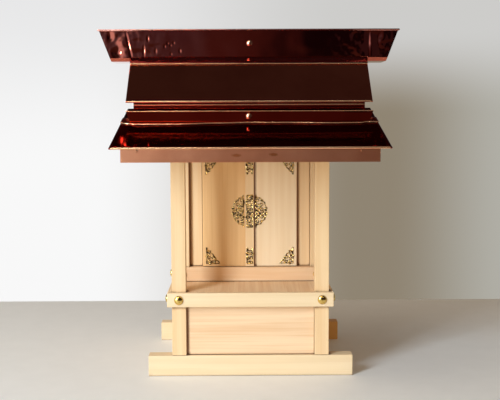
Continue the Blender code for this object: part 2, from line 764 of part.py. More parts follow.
def porch_cap():
    """The low cap across the head of the porch roof, with the flashing that it stands on."""
    front = PORCH_CAP_SETBACK
    back = front + PORCH_CAP_DEPTH
    bed = (GAP + FLASHING / 2) / math.cos(PORCH_SLOPE)
    top = porch_top(front) + PORCH_CAP_HEIGHT
    outside = [
        (front, porch_top(front) + bed),
        (back, porch_top(back) + bed),
        (back, top),
        (front, top),
    ]
    within = [
        (front + SHEET, porch_top(front) - PORCH_CAP_HEIGHT),
        (back - SHEET, porch_top(back) - PORCH_CAP_HEIGHT),
        (back - SHEET, top - SHEET),
        (front + SHEET, top - SHEET),
    ]
    lap = PORCH_FLASHING_LAP
    start_y = front - lap
    length = (PORCH_CAP_DEPTH + 2 * lap) / math.cos(PORCH_SLOPE)
    lift = GAP / math.cos(PORCH_SLOPE)
    bed_place = (0, start_y, porch_top(start_y) + lift)
    bed_plate = strip_plate(
        "porch_flashing", None, ROOF_WIDTH, length, FLASHING, bed_place, PORCH_SLOPE, 0
    )
    foot, ends = porch_top(front), (front, back)
    hollow_cap("porch_cap", outside, within, PORCH_CAP_TOP_WIDTH, top, foot, ends, bed_plate)


def main_roof():
    """Two boards that meet at the ridge line, and the copper sheets and skirts on them."""
    drop = UNDER_SHEET / math.cos(MAIN_SLOPE)
    half = MAIN_BOARD_WIDTH / 2
    thick = MAIN_BOARD / math.cos(MAIN_SLOPE)
    for mirror, name, turn in ((1, "front", 0), (-1, "back", math.pi)):
        outline = [
            (MAIN_BOARD_Y, MAIN_UNDER_AT_EDGE),
            (MAIN_BOARD_Y, main_top(MAIN_BOARD_Y) - drop),
            (BODY_MIDDLE - GAP, main_top(BODY_MIDDLE - GAP) - drop),
            (BODY_MIDDLE - GAP, main_top(BODY_MIDDLE - GAP) - drop - thick),
        ]
        if mirror < 0:
            outline = [(2 * BODY_MIDDLE - y, z) for y, z in reversed(outline)]
        extruded("main_roof_board_" + name, [outline], "X", (-half, half), WOOD)

        eave = (0, BODY_MIDDLE - mirror * MAIN_RUN, MAIN_EAVE_Z)
        meeting = (MAIN_HEM + SHEET) * MAIN_TAN + GAP
        length = MAIN_RUN / math.cos(MAIN_SLOPE) - meeting
        sheet_name = "main_roof_sheet_" + name
        slope_sheet(sheet_name, ROOF_WIDTH, length, MAIN_HEM, eave, MAIN_SLOPE, turn)

        start = (MAIN_RUN - SKIRT_RUN) / math.cos(MAIN_SLOPE)
        cover = (SKIRT_RUN - CAP_DEPTH / 2 + SKIRT_COVER) / math.cos(MAIN_SLOPE)
        lifted = Vector(eave) + Vector((0, -mirror * math.sin(MAIN_SLOPE), math.cos(MAIN_SLOPE))) * GAP
        strip_plate(
            "ridge_skirt_" + name, COPPER, ROOF_WIDTH, cover, FLASHING, lifted, MAIN_SLOPE, turn, start
        )


def ridge():
    """The copper cap along the ridge and the timber core inside it, both cut to sit on the roof."""
    half = CAP_DEPTH / 2
    fold_z = CAP_FOOT + CAP_FOLD_HEIGHT

    def profile(inset, foot, top):
        """The cap's side view, its foot folded in, drawn smaller by an inset."""
        side, folded = half - inset, half - inset - CAP_FOLD
        return [
            (BODY_MIDDLE - folded, foot),
            (BODY_MIDDLE + folded, foot),
            (BODY_MIDDLE + side, fold_z),
            (BODY_MIDDLE + side, top),
            (BODY_MIDDLE - side, top),
            (BODY_MIDDLE - side, fold_z),
        ]

    face, back = BODY_MIDDLE - half, BODY_MIDDLE + half
    outside = profile(0, CAP_FOOT, CAP_TOP)
    within = profile(SHEET, CAP_FOOT - GAP, CAP_TOP - 2 * SHEET)
    foot = CAP_FOOT - GAP
    cap = hollow_cap("ridge_cap", outside, within, CAP_TOP_WIDTH, CAP_TOP, foot, (face, back))

    room = (2 * GAP + FLASHING) / math.cos(MAIN_SLOPE)
    far = MAIN_RUN
    low = main_top(BODY_MIDDLE - far)
    roof_view = [
        (BODY_MIDDLE - far, low + room),
        (BODY_MIDDLE + far, low + room),
        (BODY_MIDDLE, main_top(BODY_MIDDLE) + room),
    ]
    roof_half = ROOF_WIDTH / 2 + 2 * GAP
    roof_void = extruded("roof_void", [roof_view], "X", (-roof_half, roof_half), None)
    boolean(cap, roof_void, "DIFFERENCE")

    brim_half = CAP_TOP_WIDTH / 2 + CAP_BRIM
    brim_x, brim_y = (-brim_half, brim_half), (face - CAP_BRIM, back + CAP_BRIM)
    brim_z = (CAP_TOP - BRIM_HEIGHT, CAP_TOP)
    brim = block("ridge_brim", brim_x, brim_y, brim_z, None, eased=False)
    boolean(cap, brim, "UNION")

    core_half = ROOF_WIDTH / 2
    core_y = (face + CORE_CLEARANCE, back - CORE_CLEARANCE)
    core_z = (fold_z, CAP_TOP - BRIM_HEIGHT - GAP)
    core = block("ridge_core", (-core_half, core_half), core_y, core_z, WOOD, eased=False)
    boolean(core, roof_void, "DIFFERENCE")


base()
posts()
shelf()
body()
doors()
fittings()
studs()
porch_roof()
porch_cap()
main_roof()
ridge()
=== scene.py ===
import math

import bmesh
import bpy
from mathutils import Matrix, Vector, noise


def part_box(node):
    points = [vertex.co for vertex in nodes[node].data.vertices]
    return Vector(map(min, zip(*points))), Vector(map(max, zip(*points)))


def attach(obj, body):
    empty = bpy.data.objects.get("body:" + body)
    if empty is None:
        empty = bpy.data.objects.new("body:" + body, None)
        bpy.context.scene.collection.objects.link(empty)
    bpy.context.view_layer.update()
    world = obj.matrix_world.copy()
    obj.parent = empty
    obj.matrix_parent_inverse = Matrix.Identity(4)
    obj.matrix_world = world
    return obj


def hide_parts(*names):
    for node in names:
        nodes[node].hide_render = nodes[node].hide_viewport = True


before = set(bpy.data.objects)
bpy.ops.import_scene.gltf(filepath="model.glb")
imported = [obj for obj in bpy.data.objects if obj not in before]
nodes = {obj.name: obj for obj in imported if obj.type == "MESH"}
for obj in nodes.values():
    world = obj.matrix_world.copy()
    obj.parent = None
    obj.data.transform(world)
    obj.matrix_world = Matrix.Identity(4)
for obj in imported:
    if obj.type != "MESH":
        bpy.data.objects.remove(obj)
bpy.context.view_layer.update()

# Sizes in metres, in the cabinet's own frame: X is the width, the doors face -Y, Z is the height.
SHEET = 0.0008  # thickness of the copper
GAP = 0.0003  # between a sheet and what it lies on
PORCH_SLOPE = math.radians(13.4)
MAIN_SLOPE = math.radians(42.5)
CAP_END_SLOPE = math.radians(21)  # of both caps' ends, from upright
PORCH_NOSE = 0.00135  # radius of the porch sheet's rolled edge
MAIN_NOSE = 0.00145  # the same of the main sheets
FLASHING_NOSE = 0.0008  # the same of the flashing and the skirts
SHEET_HEM = 0.005  # how far a rolled edge runs back under its sheet
SKIRT_HEM = 0.004
FLASHING_HEM = 0.003
BRIM_HEM = 0.0035
CAP_BRIM = 0.0013  # how far the ridge cap's brim stands out from its faces
BRIM_HEIGHT = 0.0028
CAP_FOLD = 0.003  # how far the ridge cap's foot is folded inwards
CAP_FOLD_HEIGHT = 0.0054
CAP_DROP = 0.0027  # of the ridge cap's foot below the roof at its face
PORCH_CAP_DEPTH = 0.022
PORCH_CAP_TOP_WIDTH = 0.3268
PORCH_CAP_LIP = 0.0006  # radius of its rolled lip
FLASHING_LAP = 0.001  # how far the flashing runs past the porch cap
CLADDING = 0.0005  # thickness of the copper over the main boards' edges
CLADDING_BEAD = 0.0008  # radius
CLADDING_BEAD_HEIGHT = 0.0074
CLADDING_TUCK = 0.006  # how far the copper runs back under the board
# Place across the porch, and how far the flashing's edge runs forward there
FLASHING_EDGE = (
    (-0.1705, -0.0005), (-0.163, 0.005), (-0.15, 0.009), (-0.09, 0.009), (-0.04, 0.004), (0.0, 0.001),
    (0.05, 0.002), (0.11, 0.005), (0.148, 0.004), (0.153, -0.0005), (0.1705, -0.0005),
)

# How finely the meshes are divided
SHEET_COLUMNS, SHEET_ROWS = 140, 40
CAP_COLUMNS, CAP_ROWS = 340, 32
CAP_END_COLUMNS = 44
CAP_FOLD_ROWS = 4
BRIM_COLUMNS = 160
CAP_DEPTH_STEPS, PORCH_CAP_DEPTH_STEPS = 12, 8
DOME_SIDES = 40

# Camera
CAMERA_PLACE = (-0.00915, -1.310565, 0.35432)
CAMERA_PITCH = math.radians(5.34)
CAMERA_YAW = math.radians(0.42)
CAMERA_ROLL = math.radians(-0.22)
LENS = 67.798
SENSOR = 36.0


class Graph:
    """A node tree that is put together from its inputs outwards."""

    def __init__(self, tree):
        self.tree = tree

    def feed(self, socket, value):
        """Links an output to a socket, or sets a plain value or an opaque colour on it."""
        if isinstance(value, bpy.types.NodeSocket):
            self.tree.links.new(value, socket)
        elif socket.type == "RGBA":
            socket.default_value = (*value, 1.0)
        else:
            socket.default_value = value

    def node(self, kind, inputs, output=0, **settings):
        """Adds a node, feeds its inputs, and returns one of its outputs."""
        made = self.tree.nodes.new("ShaderNode" + kind)
        for key, value in settings.items():
            setattr(made, key, value)
        for key, value in inputs.items():
            self.feed(made.inputs[key], value)
        return made.outputs[output]

    def place(self, scale=(1, 1, 1), offset=(0, 0, 0)):
        """The object's own coordinates in metres, scaled."""
        own = self.tree.nodes.new("ShaderNodeTexCoord").outputs["Object"]
        return self.node("Mapping", {"Vector": own, "Scale": scale, "Location": offset})

    def noise(self, place, scale, detail, roughness):
        inputs = {"Vector": place, "Scale": scale, "Detail": detail, "Roughness": roughness}
        return self.node("TexNoise", inputs)

    def spread(self, value, low, high, to_low=0.0, to_high=1.0):
        """Stretches part of a value's range, smoothly and within its ends."""
        inputs = {0: value, 1: low, 2: high, 3: to_low, 4: to_high}
        return self.node("MapRange", inputs, interpolation_type="SMOOTHSTEP")

    def times(self, first, second):
        return self.node("Math", {0: first, 1: second}, operation="MULTIPLY")

    def plus(self, first, second):
        return self.node("Math", {0: first, 1: second}, operation="ADD")

    def mix(self, factor, first, second, blend="MIX"):
        inputs = {0: factor, 6: first, 7: second}
        return self.node("Mix", inputs, output=2, data_type="RGBA", blend_type=blend)

    def bump(self, height, distance, strength=1.0, under=None):
        inputs = {"Height": height, "Distance": distance, "Strength": strength}
        if under is not None:
            inputs["Normal"] = under
        return self.node("Bump", inputs)


class Shader(Graph):
    """A material with one surface."""

    def __init__(self, name):
        self.material = bpy.data.materials.new(name)
        self.material.use_nodes = True
        super().__init__(self.material.node_tree)

    def finish(self, **inputs):
        surface = self.tree.nodes["Principled BSDF"]
        for key, value in inputs.items():
            self.feed(surface.inputs[key.replace("_", " ")], value)
        return self.material


# Detail of the timber's streaks, rings and pores, to the metre, and how much each is drawn out
STREAKS, RINGS, PORES = 110, 520, 1500
STREAK_DRAWN, RING_DRAWN = 0.035, 0.012
GRAIN_SHIFT = (0.37, 0.61, 0.83)  # from one board's grain to the next
RING_STRENGTH = 0.38
GRAIN_DEPTH = 0.00012
SHADE_BROWN = (0.11, 0.026, 0.002)  # painted shade: warm dark brown where the window's light is cut off in corners, recesses and joints
SHADE_REACH = 0.006
WINDOW_LEAN = (-0.75, -0.2, 0.35)  # leans the painted shade's reach towards the window, so a step or joint darkens on its side away from it
SHADE_FADE = 0.0015


def timber(name, axis, tone, seed, painted_shade_to=None, shaded_end=None):
    """Planed cypress with straight fine grain along one axis, painted shade in its corners and joints on
    their side away from the window, and painted shade towards one end where shaded_end asks for it.

    painted_shade_to is how far across the piece the corner shade reaches: 0 for none of it, None for all.
    """
    light, dark = tone
    wood = Shader(name)
    offset = [seed * shift for shift in GRAIN_SHIFT]
    broad, fine = [1.0] * 3, [1.0] * 3
    broad[axis], fine[axis] = STREAK_DRAWN, RING_DRAWN
    streaks = wood.noise(wood.place(broad, offset), STREAKS, 3, 0.55)
    rings = wood.noise(wood.place(fine, offset), RINGS, 2, 0.6)
    pores = wood.noise(wood.place(fine, offset), PORES, 2, 0.5)
    ring_lines = wood.spread(rings, 0.5, 0.72)
    colour = wood.mix(wood.spread(streaks, 0.3, 0.72, 0.0, 0.7), light, dark)
    colour = wood.mix(wood.times(ring_lines, RING_STRENGTH), colour, dark)
    height = wood.plus(wood.times(pores, 0.5), rings)
    # Painted shade: occlusion leaned towards the window darkens corners and joints on their far side, but
    # not faces that look towards the window
    if painted_shade_to != 0:
        facing = wood.node("NewGeometry", {}, "Normal")
        toward = wood.node("VectorMath", {0: facing, 1: WINDOW_LEAN}, operation="ADD")
        near = {"Distance": SHADE_REACH, "Normal": toward}
        corner = wood.node("AmbientOcclusion", near, output="AO", samples=8)
        across = wood.node("SeparateXYZ", {"Vector": facing}, "X")
        open_from = (0.62, 0.99) if painted_shade_to else (0.36, 0.86)
        painted_shade = wood.spread(corner, *open_from, 0.95, 0.0)
        painted_shade = wood.times(painted_shade, wood.spread(across, -0.9, -0.5))
        if painted_shade_to:
            place_x = wood.node("SeparateXYZ", {"Vector": wood.place()}, "X")
            beside = wood.spread(place_x, painted_shade_to, painted_shade_to + SHADE_FADE, 1.0, 0.0)
            painted_shade = wood.times(painted_shade, beside)
        colour = wood.mix(painted_shade, colour, SHADE_BROWN)
    # Painted shade towards one end of the board
    if shaded_end:
        start, end, brown = shaded_end
        across = wood.node("SeparateXYZ", {"Vector": wood.place()}, "X")
        colour = wood.mix(wood.spread(across, start, end), colour, brown)
    return wood.finish(
        Base_Color=colour,
        Roughness=wood.spread(rings, 0.3, 0.8, 0.5, 0.66),
        Normal=wood.bump(height, GRAIN_DEPTH, 0.5),
    )


# Detail of the copper's ripples, tarnish, haze, stains, scuffs and specks, to the metre
RIPPLES, TARNISH, HAZE, STAINING, SCUFFS, SPECKS = 22, 14, 60, 300, 420, 900
SCUFF_DEPTH = 0.00001
SPECK_DULLNESS = 0.06
SPOT_BROWN = (0.62, 0.15, 0.04)


def copper(
    name, colour, deep, roughness, ripple=0.0004, haze=0.03, metallic=1.0, spots=(), glance=1.0,
):
    """Polished copper sheet with slow ripples, fine scuffs and a slightly uneven tarnish.

    spots are stains, each by its place across and up and its half width and height.
    glance is how light the sheet is when seen along its surface.
    """
    metal = Shader(name)
    place = metal.place()
    tarnish = metal.noise(place, TARNISH, 4, 0.6)
    scuffs = metal.noise(metal.place((1, 1, 0.25)), SCUFFS, 3, 0.7)
    specks = metal.spread(metal.noise(place, SPECKS, 2, 0.6), 0.68, 0.8)
    haze_map = metal.spread(metal.noise(place, HAZE, 5, 0.7), 0.45, 0.75, 0.0, haze)
    slow = metal.bump(metal.noise(place, RIPPLES, 1, 0.4), ripple)
    scratched = metal.bump(scuffs, SCUFF_DEPTH, 0.6, slow)
    tone = metal.mix(metal.spread(tarnish, 0.35, 0.7), colour, deep)
    for x, z, wide, tall in spots:
        near = metal.place((1 / wide, 0, 1 / tall), (-x / wide, 0, -z / tall))
        uneven = metal.times(metal.noise(place, STAINING, 3, 0.6), 0.8)
        away = metal.node("VectorMath", {0: near}, "Value", operation="LENGTH")
        reach = metal.plus(away, uneven)
        tone = metal.mix(metal.spread(reach, 0.8, 1.4, 0.8, 0.0), tone, SPOT_BROWN)
    speckled = metal.times(specks, SPECK_DULLNESS)
    return metal.finish(
        Base_Color=tone,
        Metallic=metallic,
        Specular_Tint=(glance, glance, glance),
        Roughness=metal.plus(speckled, metal.plus(haze_map, roughness)),
        Normal=scratched,
    )


PATCHES, FINE_GRAIN = 300, 1400  # detail of the brass's patches and grain, to the metre
GRAIN_DULLNESS = 0.12


def gilt(name, colour, deep, roughness, pits, grain=FINE_GRAIN):
    """Gilt brass, darker in patches, its grain as deep as its pits."""
    metal = Shader(name)
    place = metal.place()
    patches = metal.noise(place, PATCHES, 3, 0.6)
    grains = metal.noise(place, grain, 2, 0.6)
    return metal.finish(
        Base_Color=metal.mix(metal.spread(patches, 0.44, 0.56), colour, deep),
        Metallic=1.0,
        Roughness=metal.spread(grains, 0.3, 0.7, roughness, roughness + GRAIN_DULLNESS),
        Normal=metal.bump(grains, pits, 0.7),
    )


# Light and dark colours of the timber
CREAM = ((0.86, 0.675, 0.44), (0.78, 0.575, 0.335))
STRAW = ((0.86, 0.62, 0.36), (0.78, 0.52, 0.27))
PEACH = ((0.88, 0.64, 0.41), (0.72, 0.425, 0.215))
# A darker, more orange copy of the door timber for the left door and the door head: painted shade for the
# post's shadow over the left door
SHADED_DOOR_TAN = ((0.86, 0.555, 0.265), (0.72, 0.41, 0.165))
# A lighter copy of the door timber for the right door: painted light, where the window's light falls more
# fully
LIT_DOOR_PALE = ((0.93, 0.73, 0.49), (0.85, 0.62, 0.37))
# How far across each door piece the painted shade reaches: none on most, and on the right door only beside
# the strip, as the strip's painted shadow, and not behind the fittings
DOOR_PAINTED_SHADE = {"door_left": 0, "door_strip": 0, "door_head": 0, "door_right": 0.0095}
# Where a board darkens from one place across to another, and how brown: painted shade on the back base
# beam's shaded right end
SHADED_ENDS = {"base_beam_back": (0.092, 0.124, (0.74, 0.38, 0.11))}
# By how a piece's name starts
TONES = {
    "door_left": SHADED_DOOR_TAN, "door_right": LIT_DOOR_PALE, "door_jamb": STRAW, "door_strip": STRAW, "door_head": SHADED_DOOR_TAN,
    "front_post": STRAW, "corner_post": STRAW, "back_post": STRAW, "base_panel": PEACH,
    "body_rail": PEACH, "shelf_board": PEACH, "sanctuary": PEACH, "side_wall": PEACH,
}

ROOF_COPPER = copper(
    "roof_copper_look", (0.56, 0.15, 0.075), (0.47, 0.115, 0.058), 0.03, ripple=0.00025, haze=0.02,
)
# A darker copy of the roof copper, its reflection along the surface weakened, for the porch sheet and the
# skirts: painted shade over the reflections they would show
DARKENED_COPPER = copper(
    "darkened_copper_look", (0.44, 0.1, 0.09), (0.37, 0.08, 0.07), 0.05, ripple=0.0002, glance=0.3,
)
CAP_COPPER = copper(
    "cap_copper_look", (0.56, 0.14, 0.08), (0.46, 0.105, 0.065), 0.035, ripple=0.0006, haze=0.04,
)
PORCH_CAP_COPPER = copper("porch_cap_copper_look", (0.58, 0.07, 0.032), (0.5, 0.05, 0.022), 0.035)
EDGING_COPPER = copper(
    "edging_copper_look", (1.0, 0.4, 0.195), (0.92, 0.33, 0.15), 0.3, ripple=0.0002,
    spots=((-0.0168, 0.3024, 0.0075, 0.0026), (0.0278, 0.3034, 0.007, 0.0024)),
)
# A much lighter, pinker copy of the cap's copper for the brim's roll: painted highlight
BRIM_HIGHLIGHT_COPPER = copper("brim_highlight_copper_look", (0.95, 0.48, 0.4), (0.86, 0.38, 0.3), 0.08, ripple=0.0002)
# A lighter, partly non-metallic copper for rolled edges, lips, beads and clips: painted highlight, bright
# whatever it mirrors
EDGE_HIGHLIGHT_COPPER = copper(
    "edge_highlight_copper_look", (1.0, 0.6, 0.34), (0.95, 0.5, 0.26), 0.14, ripple=0.0002, metallic=0.86,
)
# Gilt with nearly black patches: painted shade and dark reflections, for the openwork's contrast
PIERCED_BRASS_AND_SHADE = gilt(
    "pierced_brass_look", (1.0, 0.74, 0.3), (0.05, 0.02, 0.006), 0.08, pits=0.0005, grain=620,
)
STUD_BRASS = gilt("stud_brass_look", (0.86, 0.62, 0.2), (0.74, 0.48, 0.12), 0.07, pits=0.00001)
NAIL_COPPER = copper("nail_copper_look", (1.0, 0.6, 0.36), (0.9, 0.42, 0.22), 0.1, ripple=0.0)


def added(name, data):
    """A new object in the scene."""
    made = bpy.data.objects.new(name, data)
    bpy.context.scene.collection.objects.link(made)
    return made


def dress(name, material):
    """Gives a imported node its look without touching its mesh."""
    for part in nodes[name].material_slots:
        part.link = "OBJECT"
        part.material = material


WELD = 0.000002  # corners nearer than this are one
FOLD, SHEET_FOLD, ROUND_FOLD = math.radians(35), math.radians(50), math.radians(60)


def made_piece(name, mesh, material, sharp=FOLD, bead=None, closed=True, body="cabinet"):
    """A finished piece: welded, closed, shaded smooth between its folds, and riding on its body."""
    bmesh.ops.remove_doubles(mesh, verts=mesh.verts, dist=WELD)
    if closed:
        bmesh.ops.holes_fill(mesh, edges=mesh.edges, sides=0)
    bmesh.ops.recalc_face_normals(mesh, faces=mesh.faces)
    for face in mesh.faces:
        face.smooth = True
    for edge in mesh.edges:
        edge.smooth = edge.calc_face_angle(0) < sharp
    data = bpy.data.meshes.new(name)
    mesh.to_mesh(data)
    mesh.free()
    data.materials.append(material)
    if bead:
        data.materials.append(bead)
    piece = added(name, data)
    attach(piece, body)
    return piece


def shell(piece):
    """Gives a folded piece its sheet's thickness, on the inner side."""
    made = piece.modifiers.new("sheet_thickness", "SOLIDIFY")
    made.thickness = SHEET
    made.offset = -1


def steps(start, end, count):
    return [start + (end - start) * i / count for i in range(count + 1)]


def join_rows(mesh, rows, look=0, closed=False):
    """Faces between neighbouring rows of corners."""
    for low, high in zip(rows, rows[1:]):
        for i in range(len(low) - 1 + closed):
            j = (i + 1) % len(low)
            face = mesh.faces.new((low[i], low[j], high[j], high[i]))
            face.material_index = look


def capped_rows(mesh, rows):
    """A closed form along rows of corners, with a face at each end."""
    join_rows(mesh, rows, closed=True)
    mesh.faces.new(rows[0])
    mesh.faces.new(rows[-1][::-1])


def patch(mesh, us, vs, point, look=0):
    """A grid of faces over two lists of parameters."""
    join_rows(mesh, [[mesh.verts.new(point(u, v)) for v in vs] for u in us], look)


def through(points, x):
    """A smooth line through a few points, level at each of them."""
    for (first_x, first), (last_x, last) in zip(points, points[1:]):
        if x <= last_x:
            share = max(0.0, (x - first_x) / (last_x - first_x))
            return first + (last - first) * share * share * (3 - 2 * share)
    return points[-1][1]


def bulge(x, z, middle_x, middle_z, wide, tall):
    """A soft round mound, 1 at its middle."""
    return math.exp(-(((x - middle_x) / wide) ** 2) - ((z - middle_z) / tall) ** 2)


def swell(x, z, fine_x, fine_z, seed):
    """Slow unevenness from -1 to 1, with this much detail to the metre."""
    return noise.noise(Vector((x * fine_x, z * fine_z, seed)))


def ramp(value, start, length):
    """From 0 to 1 over a length."""
    return min(1.0, max(0.0, (value - start) / length))


def cap_end(top_half, top, z):
    """Half the width of a cap at a height, its ends leaning in downwards."""
    return top_half - (top - z) * math.tan(CAP_END_SLOPE)


# Sheets with rolled edges


def slope_place(eave_y, eave_z, slope, facing, lift=0.0):
    """Turns across, up the slope and out of it into the cabinet's own axes."""
    sin, cos = math.sin(slope), math.cos(slope)

    def place(x, up, out):
        out += lift
        return (x, eave_y + facing * (up * cos - out * sin), eave_z + up * sin + out * cos)

    return place


def rolled_sheet(
    name, node, place, half, run, nose, warp, thick=SHEET, hem=SHEET_HEM, look=ROOF_COPPER,
):
    """A sheet whose eave and sides are rolled round to its underside, its eave's roll in a lighter copper:
    a painted highlight.
    """

    def spans(inset):
        return steps(-half + inset, half - inset, SHEET_COLUMNS), steps(inset, run, SHEET_ROWS)

    def ring(inset, drop):
        """A line down one side, along the eave and up the other side."""
        xs, ups = spans(inset)
        line = [(xs[0], up) for up in ups[:0:-1]] + [(x, inset) for x in xs[:-1]]
        line += [(xs[-1], up) for up in ups]
        return [place(x, up, drop + warp(x, up)) for x, up in line]

    mesh = bmesh.new()
    for inset, drop in ((nose, 0.0), (hem, -thick)):
        patch(mesh, *spans(inset), lambda x, up, drop=drop: place(x, up, drop + warp(x, up)))
    turns = steps(math.pi / 2, -math.pi / 2, 10)
    rings = [ring(nose - nose * math.cos(turn), nose * math.sin(turn) - nose) for turn in turns]
    rings.append(ring(hem, -2 * nose))
    rings.append(ring(hem, -thick))
    # The eave's roll takes the painted highlight; its sides keep the sheet's own copper
    join_rows(mesh, [[mesh.verts.new(point) for point in line] for line in rings], look=1)
    for face in mesh.faces:
        if abs(face.calc_center_median().x) > half - 1.5 * nose:
            face.material_index = 0
    piece = made_piece(name, mesh, look, SHEET_FOLD, EDGE_HIGHLIGHT_COPPER)
    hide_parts(node)


def flat(x, up):
    """No unevenness."""
    return 0.0


MAIN_RIPPLE = 0.00012
PORCH_RIPPLE = 0.0002
CRUMPLE = 0.0006  # depth of the crumpled corner, and its mound and hollow: place, and half widths
CRUMPLE_MOUND = (-0.158, 0.107, 0.012, 0.006)
CRUMPLE_HOLLOW = (-0.146, 0.104, 0.009, 0.005)


def slow_ripple(height, seed):
    """A slight unevenness of a hand-laid sheet."""

    def warp(x, up):
        return height * noise.noise(Vector((x * 9 + seed, up * 16, seed)))

    return warp


def porch_warp(x, up):
    """Slow ripples, and the crumpled left corner under the flashing."""
    crumple = bulge(x, up, *CRUMPLE_MOUND) - 0.8 * bulge(x, up, *CRUMPLE_HOLLOW)
    return PORCH_RIPPLE * swell(x, up, 8, 14, 3) + CRUMPLE * crumple


def roofs():
    """The copper sheets and skirts, and the flashing under the porch cap."""
    low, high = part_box("porch_roof_sheet")
    half = high.x
    eave_z = low.z + 2 * PORCH_NOSE * math.cos(PORCH_SLOPE)
    run = (high.z - eave_z) / math.sin(PORCH_SLOPE)
    porch = slope_place(low.y, eave_z, PORCH_SLOPE, 1)
    # The porch sheet in the darkened copper: painted shade
    rolled_sheet(
        "porch_sheet", "porch_roof_sheet", porch, half, run, PORCH_NOSE,
        porch_warp, look=DARKENED_COPPER,
    )
    for name, facing in (("front", 1), ("back", -1)):
        low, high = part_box("main_roof_sheet_" + name)
        eave_y = low.y if facing > 0 else high.y
        eave_z = low.z + 2 * MAIN_NOSE * math.cos(MAIN_SLOPE)
        run = (high.z - eave_z) / math.sin(MAIN_SLOPE)
        main = slope_place(eave_y, eave_z, MAIN_SLOPE, facing)
        rolled_sheet(
            "main_sheet_" + name, "main_roof_sheet_" + name, main, high.x, run, MAIN_NOSE,
            slow_ripple(MAIN_RIPPLE, facing),
        )
        low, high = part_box("ridge_skirt_" + name)
        thick = 2 * FLASHING_NOSE
        eave_y = (low.y if facing > 0 else high.y) + facing * thick * math.sin(MAIN_SLOPE)
        skirt = slope_place(eave_y, low.z, MAIN_SLOPE, facing, thick)
        run = (high.z - low.z - thick * math.cos(MAIN_SLOPE)) / math.sin(MAIN_SLOPE)
        # The skirts in the darkened copper too: painted shade
        rolled_sheet(
            "skirt_" + name, "ridge_skirt_" + name, skirt, high.x, run, FLASHING_NOSE,
            flat, thick=thick, hem=SKIRT_HEM, look=DARKENED_COPPER,
        )


# Caps


# Dents and nicks in the ridge cap's face: place across and height, half width and height, and depth
RIDGE_MARKS = (
    (-0.189, 0.44, 0.0065, 0.0062, 0.0011), (-0.199, 0.462, 0.004, 0.006, 0.0007),
    (-0.1825, 0.453, 0.005, 0.006, -0.0005), (-0.151, 0.442, 0.0012, 0.006, 0.0005),
    (-0.145, 0.4595, 0.0011, 0.003, 0.0005), (-0.121, 0.4485, 0.001, 0.0016, 0.0003),
    (-0.1165, 0.453, 0.0011, 0.0014, 0.0003), (-0.1125, 0.45, 0.001, 0.0013, 0.0003),
    (-0.108, 0.4535, 0.001, 0.0013, 0.0003), (-0.112, 0.4375, 0.001, 0.0014, 0.0003),
    (-0.099, 0.442, 0.001, 0.0022, 0.0004), (-0.134, 0.442, 0.0012, 0.003, 0.0002),
    (0.185, 0.457, 0.005, 0.02, 0.0007), (0.172, 0.459, 0.003, 0.02, 0.0007),
)
# The crease beside them leans from one place, and reaches over one part of the face
CREASE_X, CREASE_Z, CREASE_LEAN = -0.1755, 0.464, 0.21
CREASE_DEPTH, CREASE_WIDTH = 0.0006, 0.0014
CREASE_REACH = (-0.172, 0.45, 0.02, 0.014)
CAP_SWELL, CAP_ROUGH, CAP_FINE = 0.0003, 0.0005, 0.00015  # depth of its unevenness, fine at its ends
CAP_FADE, PORCH_CAP_FADE = 0.003, 0.002  # from a cap's top to its full unevenness
GABLE_BEND = 0.0008
BRIM_SAG = 0.00025


def ridge_dents(x, z):
    """How far the ridge cap's face is pushed in, most of it at its left end."""
    push = sum(depth * bulge(x, z, *mark) for *mark, depth in RIDGE_MARKS)
    crease = abs(x - CREASE_X - (CREASE_Z - z) * CREASE_LEAN)
    push += CREASE_DEPTH * math.exp(-((crease / CREASE_WIDTH) ** 2)) * bulge(x, z, *CREASE_REACH)
    rough = swell(x, z, 60, 70, 5) * CAP_ROUGH + swell(x, z, 150, 160, 9) * CAP_FINE
    return push + ramp(abs(x), 0.1, 0.09) * rough + CAP_SWELL * swell(x, z, 14, 22, 2)


